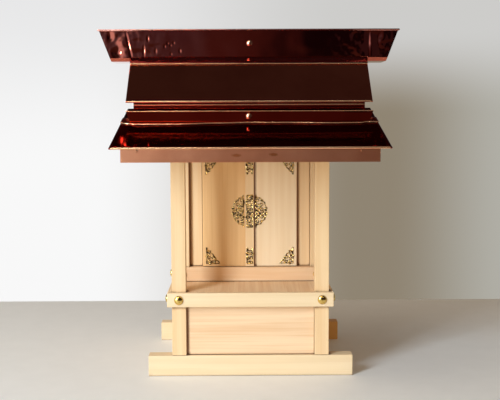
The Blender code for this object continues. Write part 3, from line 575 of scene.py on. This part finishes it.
def ridge_cap():
    """The folded cap along the ridge: faces cut to a trapezium, a folded foot and a brim."""
    low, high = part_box("ridge_cap")
    roof_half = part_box("main_roof_sheet_front")[1].x + 2 * GAP
    brim_half, brim_front, brim_back, top = high.x, low.y, high.y, high.z
    front, back, foot = brim_front + CAP_BRIM, brim_back - CAP_BRIM, low.z
    top_half = brim_half - CAP_BRIM
    clearance = (2 * GAP + 2 * FLASHING_NOSE) / math.cos(MAIN_SLOPE)
    roof_z = foot + CAP_DROP + clearance
    fold_z = foot + CAP_FOLD_HEIGHT
    nose = BRIM_HEIGHT / 2
    top_z = top - nose
    face_rows = steps(top_z, roof_z, CAP_ROWS)
    end_rows = face_rows + steps(roof_z, fold_z, CAP_FOLD_ROWS)[1:] + steps(fold_z, foot, CAP_FOLD_ROWS)[1:]
    end_columns, depth_steps = steps(0, 1, CAP_END_COLUMNS), steps(0, 1, CAP_DEPTH_STEPS)

    def face_y(x, z, side):
        """Depth of the front face, or of the back face where side is -1."""
        folded = CAP_FOLD * max(0.0, fold_z - z) / (fold_z - foot)
        fade = min(1.0, (top_z - z) / CAP_FADE)
        inward = folded + fade * ridge_dents(side * x, z)
        return front + inward if side > 0 else back - inward

    mesh = bmesh.new()
    for side in (1, -1):
        patch(
            mesh, face_rows, steps(-roof_half, roof_half, CAP_COLUMNS),
            lambda z, x, side=side: (x, face_y(x, z, side), z),
        )
        for hand in (1, -1):

            def end_point(z, along, side=side, hand=hand):
                x = hand * (roof_half + along * (cap_end(top_half, top, z) - roof_half))
                return (x, face_y(x, z, side), z)

            patch(mesh, end_rows, end_columns, end_point)
    for hand in (1, -1):

        def gable(z, along, hand=hand):
            x = hand * cap_end(top_half, top, z)
            near, far = face_y(x, z, 1), face_y(x, z, -1)
            bend = GABLE_BEND * math.sin(math.pi * along) * noise.noise(Vector((hand, along * 3, z * 40)))
            return (x - hand * abs(bend), near + along * (far - near), z)

        def sole(along, across, hand=hand):
            x = hand * (roof_half + along * (cap_end(top_half, top, foot) - roof_half))
            near, far = face_y(x, foot, 1), face_y(x, foot, -1)
            return (x, near + across * (far - near), foot)

        patch(mesh, end_rows, depth_steps, gable)
        patch(mesh, end_columns, depth_steps, sole)
    piece = made_piece("ridge_cap_folded", mesh, CAP_COPPER, closed=False)
    shell(piece)
    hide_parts("ridge_cap")

    lid = bmesh.new()
    turns = steps(math.pi / 2, -math.pi / 2, 12)
    middle_y = (brim_front + brim_back) / 2
    half_depth = (brim_back - brim_front) / 2

    def sag(x):
        """The brim's own slight waves, at both ends."""
        return -BRIM_SAG * abs(noise.noise(Vector((x * 22, 7, 0)))) * ramp(abs(x), 0.1, 0.08)

    def brim_line(inset, drop):
        """The brim's edge all the way round, as far in as the inset."""
        wide, deep = brim_half - inset, half_depth - inset
        xs = steps(-wide, wide, BRIM_COLUMNS)
        ys = steps(-deep, deep, CAP_DEPTH_STEPS)
        line = [(x, -deep) for x in xs[:-1]] + [(wide, y) for y in ys[:-1]]
        line += [(-x, deep) for x in xs[:-1]] + [(-wide, -y) for y in ys[:-1]]
        return [(x, middle_y + y, top + drop + sag(x)) for x, y in line]

    rings = [brim_line(nose - nose * math.cos(t), nose * math.sin(t) - nose) for t in turns]
    rings.append(brim_line(BRIM_HEM, -2 * nose))
    join_rows(lid, [[lid.verts.new(point) for point in line] for line in rings], look=1, closed=True)
    wide, deep = brim_half - nose, half_depth - nose
    patch(
        lid, steps(-wide, wide, BRIM_COLUMNS), steps(-deep, deep, CAP_DEPTH_STEPS),
        lambda x, y: (x, middle_y + y, top + sag(x)),
    )
    # The brim's roll takes the painted highlight
    piece = made_piece("ridge_brim", lid, CAP_COPPER, ROUND_FOLD, BRIM_HIGHLIGHT_COPPER)
    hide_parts("ridge_cap")


def porch_cap():
    """The smaller cap across the head of the porch roof, on its wavy flashing."""
    low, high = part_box("porch_cap")
    half = high.x
    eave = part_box("porch_roof_sheet")[0]

    def roof_z(y):
        return eave.z + 2 * PORCH_NOSE * math.cos(PORCH_SLOPE) + (y - eave.y) * math.tan(PORCH_SLOPE)

    thick = 2 * FLASHING_NOSE
    start_y = low.y + thick * math.sin(PORCH_SLOPE)
    front = start_y + FLASHING_LAP
    back = front + PORCH_CAP_DEPTH
    lift = GAP / math.cos(PORCH_SLOPE)
    length = (PORCH_CAP_DEPTH + 2 * FLASHING_LAP) / math.cos(PORCH_SLOPE)
    bed = slope_place(start_y, roof_z(start_y) + lift, PORCH_SLOPE, 1, thick)

    def bent(x, up, out):
        """The flashing's front edge is cut by hand, so it wanders over the sheet below."""
        near = max(0.0, 1 - up / (PORCH_CAP_DEPTH / 2))
        return bed(x, up - near * through(FLASHING_EDGE, x), out)

    rolled_sheet(
        "porch_flashing", "porch_cap", bent, half, length, FLASHING_NOSE,
        flat, thick=thick, hem=FLASHING_HEM,
    )

    top = high.z
    top_half = PORCH_CAP_TOP_WIDTH / 2
    over = (GAP + thick) / math.cos(PORCH_SLOPE)
    lip = PORCH_CAP_LIP

    def point(along, x_share, side):
        """A place on a face: from 0 to 1 round its rolled lip, then down to the flashing."""
        y = (front if side > 0 else back) + side * lip
        foot_z = roof_z(y) + over
        if along <= 1:
            z = top - lip + lip * math.cos(math.pi * along)
            out = lip * math.sin(math.pi * along)
        else:
            z = top - 2 * lip + (foot_z - top + 2 * lip) * (along - 1)
            out = 0.0
        x = x_share * cap_end(top_half, top, z)
        push = CAP_SWELL * swell(x, z, 12, 30, side) * min(1.0, (top - z) / PORCH_CAP_FADE)
        return (x, y + side * (push - out), z)

    roll, face = steps(0, 1, 8), steps(1, 2, 12)
    rows = roll + face[1:]
    columns, depth_steps = steps(-1, 1, BRIM_COLUMNS), steps(0, 1, PORCH_CAP_DEPTH_STEPS)
    mesh = bmesh.new()
    for side in (1, -1):
        # The lip's roll takes the painted highlight
        patch(mesh, roll, columns, lambda a, s, side=side: point(a, s, side), look=1)
        patch(mesh, face, columns, lambda a, s, side=side: point(a, s, side))
    for hand in (1, -1):

        def gable(along, across, hand=hand):
            near, far = Vector(point(along, hand, 1)), Vector(point(along, hand, -1))
            return near.lerp(far, across)

        patch(mesh, rows, depth_steps, gable)
    patch(
        mesh, columns, depth_steps,
        lambda s, a: Vector(point(0, s, 1)).lerp(Vector(point(0, s, -1)), a),
    )
    piece = made_piece(
        "porch_cap_folded", mesh, PORCH_CAP_COPPER, bead=EDGE_HIGHLIGHT_COPPER, closed=False,
    )
    shell(piece)
    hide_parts("porch_cap")


def folded_strip(mesh, line, start_x, end_x, thick):
    """A strip of sheet with one profile of depth and height, from one place across to another."""
    inner = []
    for i, (y, z) in enumerate(line):
        before, after = line[max(i - 1, 0)], line[min(i + 1, len(line) - 1)]
        along = Vector((after[0] - before[0], after[1] - before[1])).normalized()
        inner.append((y - along.y * thick, z + along.x * thick))
    loop = line + inner[::-1]
    capped_rows(mesh, [[mesh.verts.new((x, y, z)) for y, z in loop] for x in (start_x, end_x)])


def board_cladding():
    """Copper folded over the eaves and the ends of the main roof's boards."""
    for name, facing in (("front", 1), ("back", -1)):
        low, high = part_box("main_roof_board_" + name)
        eave_y, far_y = (low.y, high.y) if facing > 0 else (high.y, low.y)
        rise = (high.y - low.y) * math.tan(MAIN_SLOPE)
        face_y = eave_y - facing * (GAP + CLADDING)
        foot_z = low.z - GAP - CLADDING
        bead_z, bead = low.z + CLADDING_BEAD_HEIGHT, CLADDING_BEAD
        line = [(face_y, high.z - rise), (face_y, bead_z + bead)]
        line += [
            (face_y - facing * bead * math.sin(turn), bead_z + bead * math.cos(turn))
            for turn in steps(0, math.pi, 10)[1:-1]
        ]
        line += [(face_y, bead_z - bead), (face_y, foot_z)]
        line.append((face_y + facing * CLADDING_TUCK, foot_z + CLADDING_TUCK * math.tan(MAIN_SLOPE)))
        if facing < 0:
            line = line[::-1]
        mesh = bmesh.new()
        folded_strip(mesh, line, low.x - GAP - CLADDING, high.x + GAP + CLADDING, -CLADDING)
        # The bead takes the painted highlight
        for face in mesh.faces:
            middle = face.calc_center_median()
            if abs(middle.z - bead_z) < bead and (middle.y - face_y) * facing < -0.0001:
                face.material_index = 1
        made_piece("board_cladding_" + name, mesh, PORCH_CAP_COPPER, bead=EDGE_HIGHLIGHT_COPPER)
        for side, x in (("left", low.x - GAP), ("right", high.x + GAP)):
            outer = x + math.copysign(CLADDING, x)
            corners = [
                (eave_y, low.z), (eave_y, high.z - rise), (far_y, high.z), (far_y, low.z + rise),
            ]
            plate = bmesh.new()
            capped_rows(plate, [[plate.verts.new((at, y, z)) for y, z in corners] for at in (x, outer)])
            made_piece(f"board_end_{name}_{side}", plate, CAP_COPPER)


# A clip's profile of depth and height from the eave's corner, its sizes and where the two are
CLIP_PROFILE = ((0, 0), (0, -0.0022), (-0.0006, -0.0029), (-0.0013, -0.0026), (-0.0015, -0.0019))
CLIP_HALF, CLIP_SHEET = 0.0009, 0.0004
CLIP_PLACES = (("left", -0.1367), ("right", 0.1337))


def eave_clips():
    """Two small bent clips that hold the porch sheet's edge to the edging."""
    edging_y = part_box("porch_roof_edging")[0].y - GAP
    top_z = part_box("porch_roof_sheet")[0].z - GAP
    line = [(edging_y + y, top_z + z) for y, z in CLIP_PROFILE]
    for side, x in CLIP_PLACES:
        mesh = bmesh.new()
        folded_strip(mesh, line, x - CLIP_HALF, x + CLIP_HALF, -CLIP_SHEET)
        # In the lighter copper: a painted highlight
        made_piece("eave_clip_" + side, mesh, EDGE_HIGHLIGHT_COPPER)


# Small metal work


FORWARD = (0, -1, 0)
DOME_RIM = 0.0006  # height of a nail cover's rim
DOME_EDGE = ((0.95, 0.75), (0.985, 0.7), (1, 0.4), (1, 0))  # its profile, as shares of radius and rim
DOME_TIP = 0.0001  # radius of the flat spot on its top
RAIL_STUD = (0.006, 0.0031)  # radius and height
# The caps' nails: radius, height, place across and up, and how far it is sunk
RIDGE_NAIL = (0.0044, 0.0024, 0.0012, 0.4529, 0.0001)
PORCH_NAIL = (0.004, 0.0022, -0.0008, 0.349, 0.0004)


def turned(name, profile, place, facing, material):
    """A piece turned from its profile of radius and height, standing on a face."""
    mesh = bmesh.new()
    turn = Vector((0, 0, 1)).rotation_difference(Vector(facing)).to_matrix()

    def point(i, share):
        radius, height = profile[i]
        angle = 2 * math.pi * share
        return Vector(place) + turn @ Vector((radius * math.cos(angle), radius * math.sin(angle), height))

    patch(mesh, range(len(profile)), steps(0, 1, DOME_SIDES), point)
    return made_piece(name, mesh, material)


def dome(radius, height):
    """Profile of a domed nail cover with a small rolled rim."""
    line = [(DOME_TIP, height)]
    for turn in steps(0, math.pi / 2, 14)[1:]:
        line.append((0.93 * radius * math.sin(turn), DOME_RIM + (height - DOME_RIM) * math.cos(turn)))
    return line + [(radius * out, DOME_RIM * up) for out, up in DOME_EDGE]


def nail_covers():
    """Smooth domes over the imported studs, two more on the body rail, and the caps' two nails."""
    for name in sorted(nodes):
        if "_stud_" not in name:
            continue
        low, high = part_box(name)
        middle = (low + high) / 2
        if "_front_" in name:
            place, facing = (middle.x, high.y, middle.z), FORWARD
            profile = dome(high.x - middle.x, high.y - low.y)
        else:
            hand = 1 if middle.x > 0 else -1
            place, facing = (low.x if hand > 0 else high.x, middle.y, middle.z), (hand, 0, 0)
            profile = dome(high.z - middle.z, high.x - low.x)
        piece = turned(name + "_dome", profile, place, facing, STUD_BRASS)
        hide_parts(name)
    rail_low, rail_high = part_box("body_rail_front")
    post_low, post_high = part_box("corner_post_right")
    stud_x = (post_low.x + post_high.x) / 2
    stud_z = (rail_low.z + rail_high.z) / 2
    for hand, side in ((-1, "left"), (1, "right")):
        place = (hand * stud_x, rail_low.y - GAP, stud_z)
        turned("rail_stud_front_" + side, dome(*RAIL_STUD), place, FORWARD, STUD_BRASS)
    ridge_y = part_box("ridge_cap")[0].y + CAP_BRIM
    porch_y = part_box("porch_cap")[0].y + FLASHING_LAP
    for name, face_y, nail in (("ridge_nail", ridge_y, RIDGE_NAIL), ("porch_nail", porch_y, PORCH_NAIL)):
        radius, height, x, z, sunk = nail
        turned(name, dome(radius, height), (x, face_y + sunk, z), FORWARD, NAIL_COPPER)


# Openwork fittings


BAR = 0.00105  # half width of a scroll's bar
BORDER = 0.0008  # half width of a fitting's border
SCROLL_PITCH = 0.006
SCROLL_TURNS, SCROLL_STEPS = 1.15, 26
SCROLL_EYE = 0.25  # how far a scroll winds in, as a share of its radius
LEAF_WIDTH = 0.00055
LEAST_ROOM = 0.0009  # a scroll needs this much inside the border
PLATE_CLEAR = 0.00005  # a scroll lies this far below the plate's face
ROUNDEL_RADIUS, ROUNDEL_SHIFT = 0.0236, 0.0024  # of each half, and its middle's place across
ROUNDEL_LOBES, ROUNDEL_LOBE = 7, 0.0016
ROUNDEL_REACH = 0.0262
ROUNDEL_SPAN = (-ROUNDEL_RADIUS, ROUNDEL_RADIUS)
CORNER_TIP, CORNER_BOW, CORNER_LOBE = 0.0026, 0.0022, 0.0009
CORNER_SPAN_X, CORNER_SPAN_Z = (-0.0195, -0.0006), (0.0006, 0.023)
END_FORK = 0.0037


def spiral(middle, start, radius, hand):
    """A scroll that winds in from its outer radius."""
    line = []
    for share in steps(0, 1, SCROLL_STEPS):
        reach = radius * (1 - share * (1 - SCROLL_EYE))
        angle = start + hand * SCROLL_TURNS * 2 * math.pi * share
        line.append((middle[0] + reach * math.cos(angle), middle[1] + reach * math.sin(angle)))
    return line


def sweep_bar(mesh, line, face_y, radius, height, taper=False, closed=False):
    """A half-round bar laid along a flat line, in front of a face."""
    count = len(line)
    rows = []
    for i, (x, z) in enumerate(line):
        before = line[i - 1] if i or closed else line[i]
        after = line[(i + 1) % count] if i + 1 < count or closed else line[i]
        along = Vector((after[0] - before[0], after[1] - before[1]))
        across = Vector((-along.y, along.x)).normalized()
        width = radius * (1 - 0.55 * i / count) if taper else radius
        row = []
        for turn in steps(0, math.pi, 6):
            side, out = width * math.cos(turn), height * math.sin(turn)
            row.append(mesh.verts.new((x + across.x * side, face_y - out, z + across.y * side)))
        rows.append(row)
    if closed:
        join_rows(mesh, rows + rows[:1], closed=True)
    else:
        capped_rows(mesh, rows)


def leaf(mesh, place, face_y, turn, length, height):
    """A small pointed leaf with a raised middle."""
    tip = (place[0] + length * math.cos(turn), place[1] + length * math.sin(turn))
    rows = []
    for share in steps(0, 1, 5):
        x = place[0] + (tip[0] - place[0]) * share
        z = place[1] + (tip[1] - place[1]) * share
        wide = LEAF_WIDTH * math.sin(math.pi * (0.12 + 0.86 * share)) ** 0.8
        across = (-math.sin(turn) * wide, math.cos(turn) * wide)
        rows.append([
            mesh.verts.new((x + across[0], face_y, z + across[1])),
            mesh.verts.new((x, face_y - height, z)),
            mesh.verts.new((x - across[0], face_y, z - across[1])),
        ])
    capped_rows(mesh, rows)


def openwork(node, outline, span_x, span_z, move):
    """An openwork fitting: a border, scrolls inside it and small leaves between them."""
    low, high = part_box(node)
    face_y = high.y
    height = high.y - low.y - PLATE_CLEAR
    scrolls, leaves = grid_scrolls(outline_room(outline), span_x, span_z)
    border = [move(*point) for point in inset(outline, BORDER)]
    mesh = bmesh.new()
    sweep_bar(mesh, border, face_y, BORDER, height * 0.85, closed=True)
    for scroll in scrolls:
        sweep_bar(mesh, [move(*point) for point in scroll], face_y, BAR, height, taper=True)
    for place, turn, length in leaves:
        root = move(*place)
        tip = move(place[0] + math.cos(turn), place[1] + math.sin(turn))
        aimed = math.atan2(tip[1] - root[1], tip[0] - root[0])
        leaf(mesh, root, face_y, aimed, length, height * 0.9)
    body = "right_door" if "right" in node else "left_door"
    piece = made_piece(node + "_openwork", mesh, PIERCED_BRASS_AND_SHADE, ROUND_FOLD, body=body)
    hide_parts(node)


def inset(points, by):
    """A closed outline drawn inwards by a distance."""
    middle = (sum(x for x, z in points) / len(points), sum(z for x, z in points) / len(points))
    made = []
    for i, (x, z) in enumerate(points):
        before, after = points[i - 1], points[(i + 1) % len(points)]
        along = Vector((after[0] - before[0], after[1] - before[1])).normalized()
        across = Vector((-along.y, along.x))
        if across.dot(Vector((middle[0] - x, middle[1] - z))) < 0:
            across = -across
        made.append((x + across.x * by, z + across.y * by))
    return made


def grid_scrolls(inside, span_x, span_z):
    """Linked scrolls and leaves over a field, kept where they fit in the outline."""
    pitch, scrolls, leaves = SCROLL_PITCH, [], []
    rows = max(1, round((span_z[1] - span_z[0]) / pitch))
    columns = max(1, round((span_x[1] - span_x[0]) / pitch))
    for row in range(rows):
        for column in range(columns):
            x = span_x[0] + (column + 0.5) * (span_x[1] - span_x[0]) / columns
            z = span_z[0] + (row + 0.5) * (span_z[1] - span_z[0]) / rows
            room = inside(x, z)
            if room < LEAST_ROOM:
                continue
            hand = 1 if (row + column) % 2 else -1
            start = 1.7 * row + 2.3 * column
            radius = min(pitch * 0.52, room + 0.0003)
            scrolls.append(spiral((x, z), start, radius, hand))
            if room > pitch * 0.45:
                root = (x + radius * math.cos(start), z + radius * math.sin(start))
                leaves.append((root, start + 0.9 * hand, pitch * 0.62))
    return scrolls, leaves


def outline_room(outline):
    """A function that gives the distance inside an outline, negative outside it."""

    def room(x, z):
        nearest, within = math.inf, False
        for (ax, az), (bx, bz) in zip(outline, outline[1:] + outline[:1]):
            dx, dz = bx - ax, bz - az
            share = min(1, max(0, ((x - ax) * dx + (z - az) * dz) / (dx * dx + dz * dz)))
            nearest = min(nearest, math.hypot(x - ax - share * dx, z - az - share * dz))
            if (az > z) != (bz > z) and x < ax + (z - az) * dx / dz:
                within = not within
        return nearest if within else -nearest

    return room


def corner_outline(wide, tall):
    """A right angle at the origin, its long side bowed out in four lobes."""
    across, up = wide - CORNER_TIP, tall - CORNER_TIP
    length = math.hypot(across, up)
    points = [(0, 0)]
    for share in steps(0, 1, 28):
        bow = CORNER_BOW * math.sin(math.pi * share) - CORNER_LOBE * abs(math.sin(4 * math.pi * share))
        points.append((-(across * share + bow * up / length), tall - up * share + bow * across / length))
    points.append((-wide, 0))
    return points


def roundel_outline(chord):
    """Half a roundel with a lobed edge, on the right of the middle, cut along a chord."""
    end = math.acos((chord - ROUNDEL_SHIFT) / ROUNDEL_RADIUS)
    points = []
    for share in steps(0, 1, 56):
        turn = end * (2 * share - 1)
        reach = ROUNDEL_RADIUS - ROUNDEL_LOBE * abs(math.sin(math.pi * ROUNDEL_LOBES * share))
        points.append((max(chord, reach * math.cos(turn) + ROUNDEL_SHIFT), reach * math.sin(turn)))
    return points


def end_outline(half, length):
    """The strip's end plate: square at its foot and forked at its top."""
    points = [(-half, 0), (half, 0)]
    for share in steps(1, -1, 12):
        points.append((half * share, length - END_FORK * math.cos(math.pi / 2 * share)))
    return points


def strip_outline(half):
    """The roundel's middle, between its two halves."""
    end = math.asin(half / ROUNDEL_RADIUS)
    points = [
        (ROUNDEL_RADIUS * math.sin(turn), ROUNDEL_RADIUS * math.cos(turn))
        for turn in steps(-end, end, 8)
    ]
    return points + [(-x, -z) for x, z in points]


def mover(at_x, at_z, hand, up):
    """Takes a fitting from its own frame to its node, flipped where hand or up is -1."""
    return lambda x, z: (at_x + hand * x, at_z + up * z)


def fittings():
    """All nine openwork plates, each drawn in its own frame and moved to its node."""
    for side, hand in (("left", -1), ("right", 1)):
        for label, up in (("low", 1), ("high", -1)):
            node = f"fitting_corner_{side}_{label}"
            low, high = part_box(node)
            move = mover(high.x if hand > 0 else low.x, low.z if up > 0 else high.z, hand, up)
            outline = corner_outline(high.x - low.x, high.z - low.z)
            openwork(node, outline, CORNER_SPAN_X, CORNER_SPAN_Z, move)
        node = "fitting_roundel_" + side
        low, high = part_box(node)
        chord = low.x if hand > 0 else -high.x
        move = mover(0, (low.z + high.z) / 2, hand, 1)
        openwork(node, roundel_outline(chord), (chord, ROUNDEL_REACH), ROUNDEL_SPAN, move)
    for label, up in (("low", 1), ("high", -1)):
        node = "fitting_strip_" + label
        low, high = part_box(node)
        half, length = (high.x - low.x) / 2, high.z - low.z
        move = mover(0, low.z if up > 0 else high.z, 1, up)
        openwork(node, end_outline(half, length), (-half, half), (0.0, length), move)
    low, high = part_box("fitting_roundel_strip")
    outline, move = strip_outline((high.x - low.x) / 2), mover(0, (low.z + high.z) / 2, 1, 1)
    openwork("fitting_roundel_strip", outline, (low.x, high.x), ROUNDEL_SPAN, move)


# Boards whose grain is upright, whatever their shape
UPRIGHT = ("door_left", "door_right", "side_wall_left", "side_wall_right", "back_wall")


def timbers():
    """Each board and beam gets its own grain, along its longest side."""
    metals = ("sheet", "cap", "skirt", "edging", "fitting", "stud")
    for seed, name in enumerate(sorted(nodes)):
        if any(word in name for word in metals):
            continue
        low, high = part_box(name)
        size = high - low
        axis = max(range(3), key=lambda i: size[i])
        if name in UPRIGHT:
            axis = 2
        tone = next((TONES[key] for key in TONES if name.startswith(key)), CREAM)
        look = timber(name + "_look", axis, tone, seed, DOOR_PAINTED_SHADE.get(name), SHADED_ENDS.get(name))
        dress(name, look)
    dress("porch_roof_edging", EDGING_COPPER)


TABLE_HALF, TABLE_FRONT, TABLE_BACK = 4, -0.55, 0.444


def backdrop():
    """A pale table that ends behind the cabinet."""
    near = [(x, TABLE_FRONT, 0) for x in (-TABLE_HALF, TABLE_HALF)]
    far = [(x, TABLE_BACK, 0) for x in (TABLE_HALF, -TABLE_HALF)]
    table = bpy.data.meshes.new("table_top")
    table.from_pydata(near + far, [], [(0, 1, 2, 3)])
    floor = Shader("pale_table")
    cloudy = floor.noise(floor.place(), 30, 5, 0.6)
    grain = floor.noise(floor.place(), 700, 3, 0.6)
    table.materials.append(floor.finish(
        Base_Color=floor.mix(cloudy, (0.83, 0.84, 0.84), (0.9, 0.91, 0.91)),
        Roughness=0.55,
        Normal=floor.bump(grain, 0.0002, 0.4),
    ))
    piece = added("table", table)


def camera():
    """The photo's viewpoint, by its pitch, yaw and roll."""
    sin_p, cos_p = math.sin(CAMERA_PITCH), math.cos(CAMERA_PITCH)
    sin_y, cos_y = math.sin(CAMERA_YAW), math.cos(CAMERA_YAW)
    ahead = Vector((sin_y * cos_p, cos_y * cos_p, -sin_p))
    right = Vector((cos_y, -sin_y, 0))
    up = right.cross(ahead)
    roll_cos, roll_sin = math.cos(CAMERA_ROLL), math.sin(CAMERA_ROLL)
    rolled_right = right * roll_cos + up * roll_sin
    rolled_up = up * roll_cos - right * roll_sin
    turn = Matrix((rolled_right, rolled_up, -ahead)).transposed().to_4x4()
    data = bpy.data.cameras.new("photo_camera")
    data.lens = LENS
    data.sensor_width = SENSOR
    data.sensor_fit = "HORIZONTAL"
    made = added("photo_camera", data)
    made.matrix_world = Matrix.Translation(CAMERA_PLACE) @ turn
    bpy.context.scene.camera = made


# Each light's place, aim, width and height, power in watts and colour
WINDOW = ((-1.35, -1.75, 0.95), (0, 0.05, 0.2), (0.55, 1.5), 58, (0.78, 0.89, 0.97))
CEILING = ((-1.0, -0.5, 2.2), (0, 0, 0.1), (1.6, 1.6), 14, (1.0, 0.83, 0.63))
FRONT = ((0.3, -2.6, 0.1), (0, 0, 0.25), (2.4, 0.5), 11, (1.0, 0.8, 0.59))


def area_light(name, place, aim, size, power, colour):
    """A soft rectangle of light, turned towards its aim."""
    data = bpy.data.lights.new(name, "AREA")
    data.shape = "RECTANGLE"
    data.size, data.size_y = size
    data.energy = power
    data.color = colour
    made = added(name, data)
    made.location = place
    made.rotation_euler = (Vector(aim) - Vector(place)).to_track_quat("-Z", "Y").to_euler()
    return made


def lights():
    """A tall window on the left, a soft ceiling bounce and a weak front fill."""
    area_light("window", *WINDOW)
    area_light("ceiling_bounce", *CEILING).visible_glossy = False
    area_light("fill", *FRONT).visible_glossy = False


# The wall behind: where it is lit, low and high, and its shadow on the left, the right and high up
LIT_LOW, LIT_HIGH = (0.94, 0.94, 0.94), (0.8, 0.8, 0.805)
SHADOW_LEFT, SHADOW_RIGHT = (0.275, 0.232, 0.17), (0.44, 0.43, 0.385)
SHADOW_HIGH = (0.61, 0.605, 0.59)
# The room that the copper mirrors, from left to right, then low down, high up and at its window
ROOM_LEFT, ROOM_MIDDLE = (0.13, 0.15, 0.24), (0.075, 0.035, 0.04)
ROOM_DARK, ROOM_RIGHT = (0.01, 0.005, 0.01), (0.055, 0.04, 0.06)
LOW_LEFT, LOW_RIGHT = (0.085, 0.05, 0.05), (0.055, 0.03, 0.03)
ROOM_HIGH = (0.05, 0.042, 0.045)
ROOM_WINDOW = (0.95, 1.15, 1.45)
GLOW_LEFT, GLOW_RIGHT = 22.0, 1.5  # strength of the band of light along the ceiling
SOFT_LIGHT, SOFT_STRENGTH = (1.0, 0.8, 0.59), 0.26  # what lights the timber from all round


def room():
    """A pale wall behind, and a dim room with one bright side for the copper to mirror.

    Each spread runs between two directions: x is to the right, y straight ahead and z up.
    """
    world = bpy.data.worlds.new("room")
    bpy.context.scene.world = world
    world.use_nodes = True
    world.cycles.sampling_method = "NONE"
    world.node_tree.nodes.clear()
    graph = Graph(world.node_tree)
    mix, spread, times, plus = graph.mix, graph.spread, graph.times, graph.plus
    toward = graph.node("TexCoord", {}, "Generated")
    x = graph.node("SeparateXYZ", {"Vector": toward}, "X")
    y, z = x.node.outputs["Y"], x.node.outputs["Z"]
    left = spread(x, -0.16, 0.12, 1.0, 0.0)

    lit_wall = mix(spread(z, -0.06, 0.13), LIT_LOW, LIT_HIGH)
    shadow = mix(spread(x, 0.15, 0.28), SHADOW_LEFT, SHADOW_RIGHT)
    shadow_wall = mix(spread(z, -0.005, 0.085), shadow, SHADOW_HIGH)
    wall = mix(left, shadow_wall, lit_wall)

    near = mix(spread(x, -0.15, 0.0, 1.0, 0.0), ROOM_MIDDLE, ROOM_LEFT)
    near = mix(spread(x, -0.02, 0.09), near, ROOM_DARK)
    near = mix(spread(x, 0.115, 0.15, 0.0, 0.7), near, ROOM_RIGHT)
    low = mix(spread(x, -0.1, 0.12), LOW_LEFT, LOW_RIGHT)
    near = mix(spread(z, 0.01, 0.05), low, near)
    near = mix(spread(x, -0.28, -0.115, 1.0, 0.0), near, ROOM_WINDOW)
    dim = mix(spread(z, 0.12, 0.3), near, ROOM_HIGH)
    height = times(spread(z, 0.59, 0.63), spread(z, 0.68, 0.72, 1.0, 0.0))
    side = times(spread(x, -0.16, 0.02, 1.0, 0.0), spread(x, -0.26, -0.17, 0.0, GLOW_LEFT))
    side = plus(side, times(spread(x, -0.1, 0.26, 1.0, 0.0), GLOW_RIGHT))
    glow = times(times(height, side), spread(y, -0.3, 0.0, 1.0, 0.0))
    lit = mix(1.0, dim, graph.node("CombineColor", {0: glow, 1: glow, 2: glow}), "ADD")
    behind = times(spread(y, -0.05, 0.12), spread(z, 0.15, 0.35, 1.0, 0.0))
    behind = times(behind, spread(z, -0.35, -0.2))
    around = mix(behind, lit, wall)

    soft = graph.node("Background", {"Color": SOFT_LIGHT, "Strength": SOFT_STRENGTH})
    mirrored = graph.node("Background", {"Color": around})
    seen = graph.node("Background", {"Color": wall})
    diffuse_ray = graph.node("LightPath", {}, "Is Diffuse Ray")
    camera_ray = diffuse_ray.node.outputs["Is Camera Ray"]
    unseen = graph.node("MixShader", {0: diffuse_ray, 1: mirrored, 2: soft})
    out = world.node_tree.nodes.new("ShaderNodeOutputWorld")
    graph.feed(out.inputs["Surface"], graph.node("MixShader", {0: camera_ray, 1: unseen, 2: seen}))


nail_covers()
roofs()
ridge_cap()
porch_cap()
board_cladding()
eave_clips()
fittings()
timbers()
backdrop()
camera()
lights()
room()
bpy.context.scene.view_settings.view_transform = "Standard"
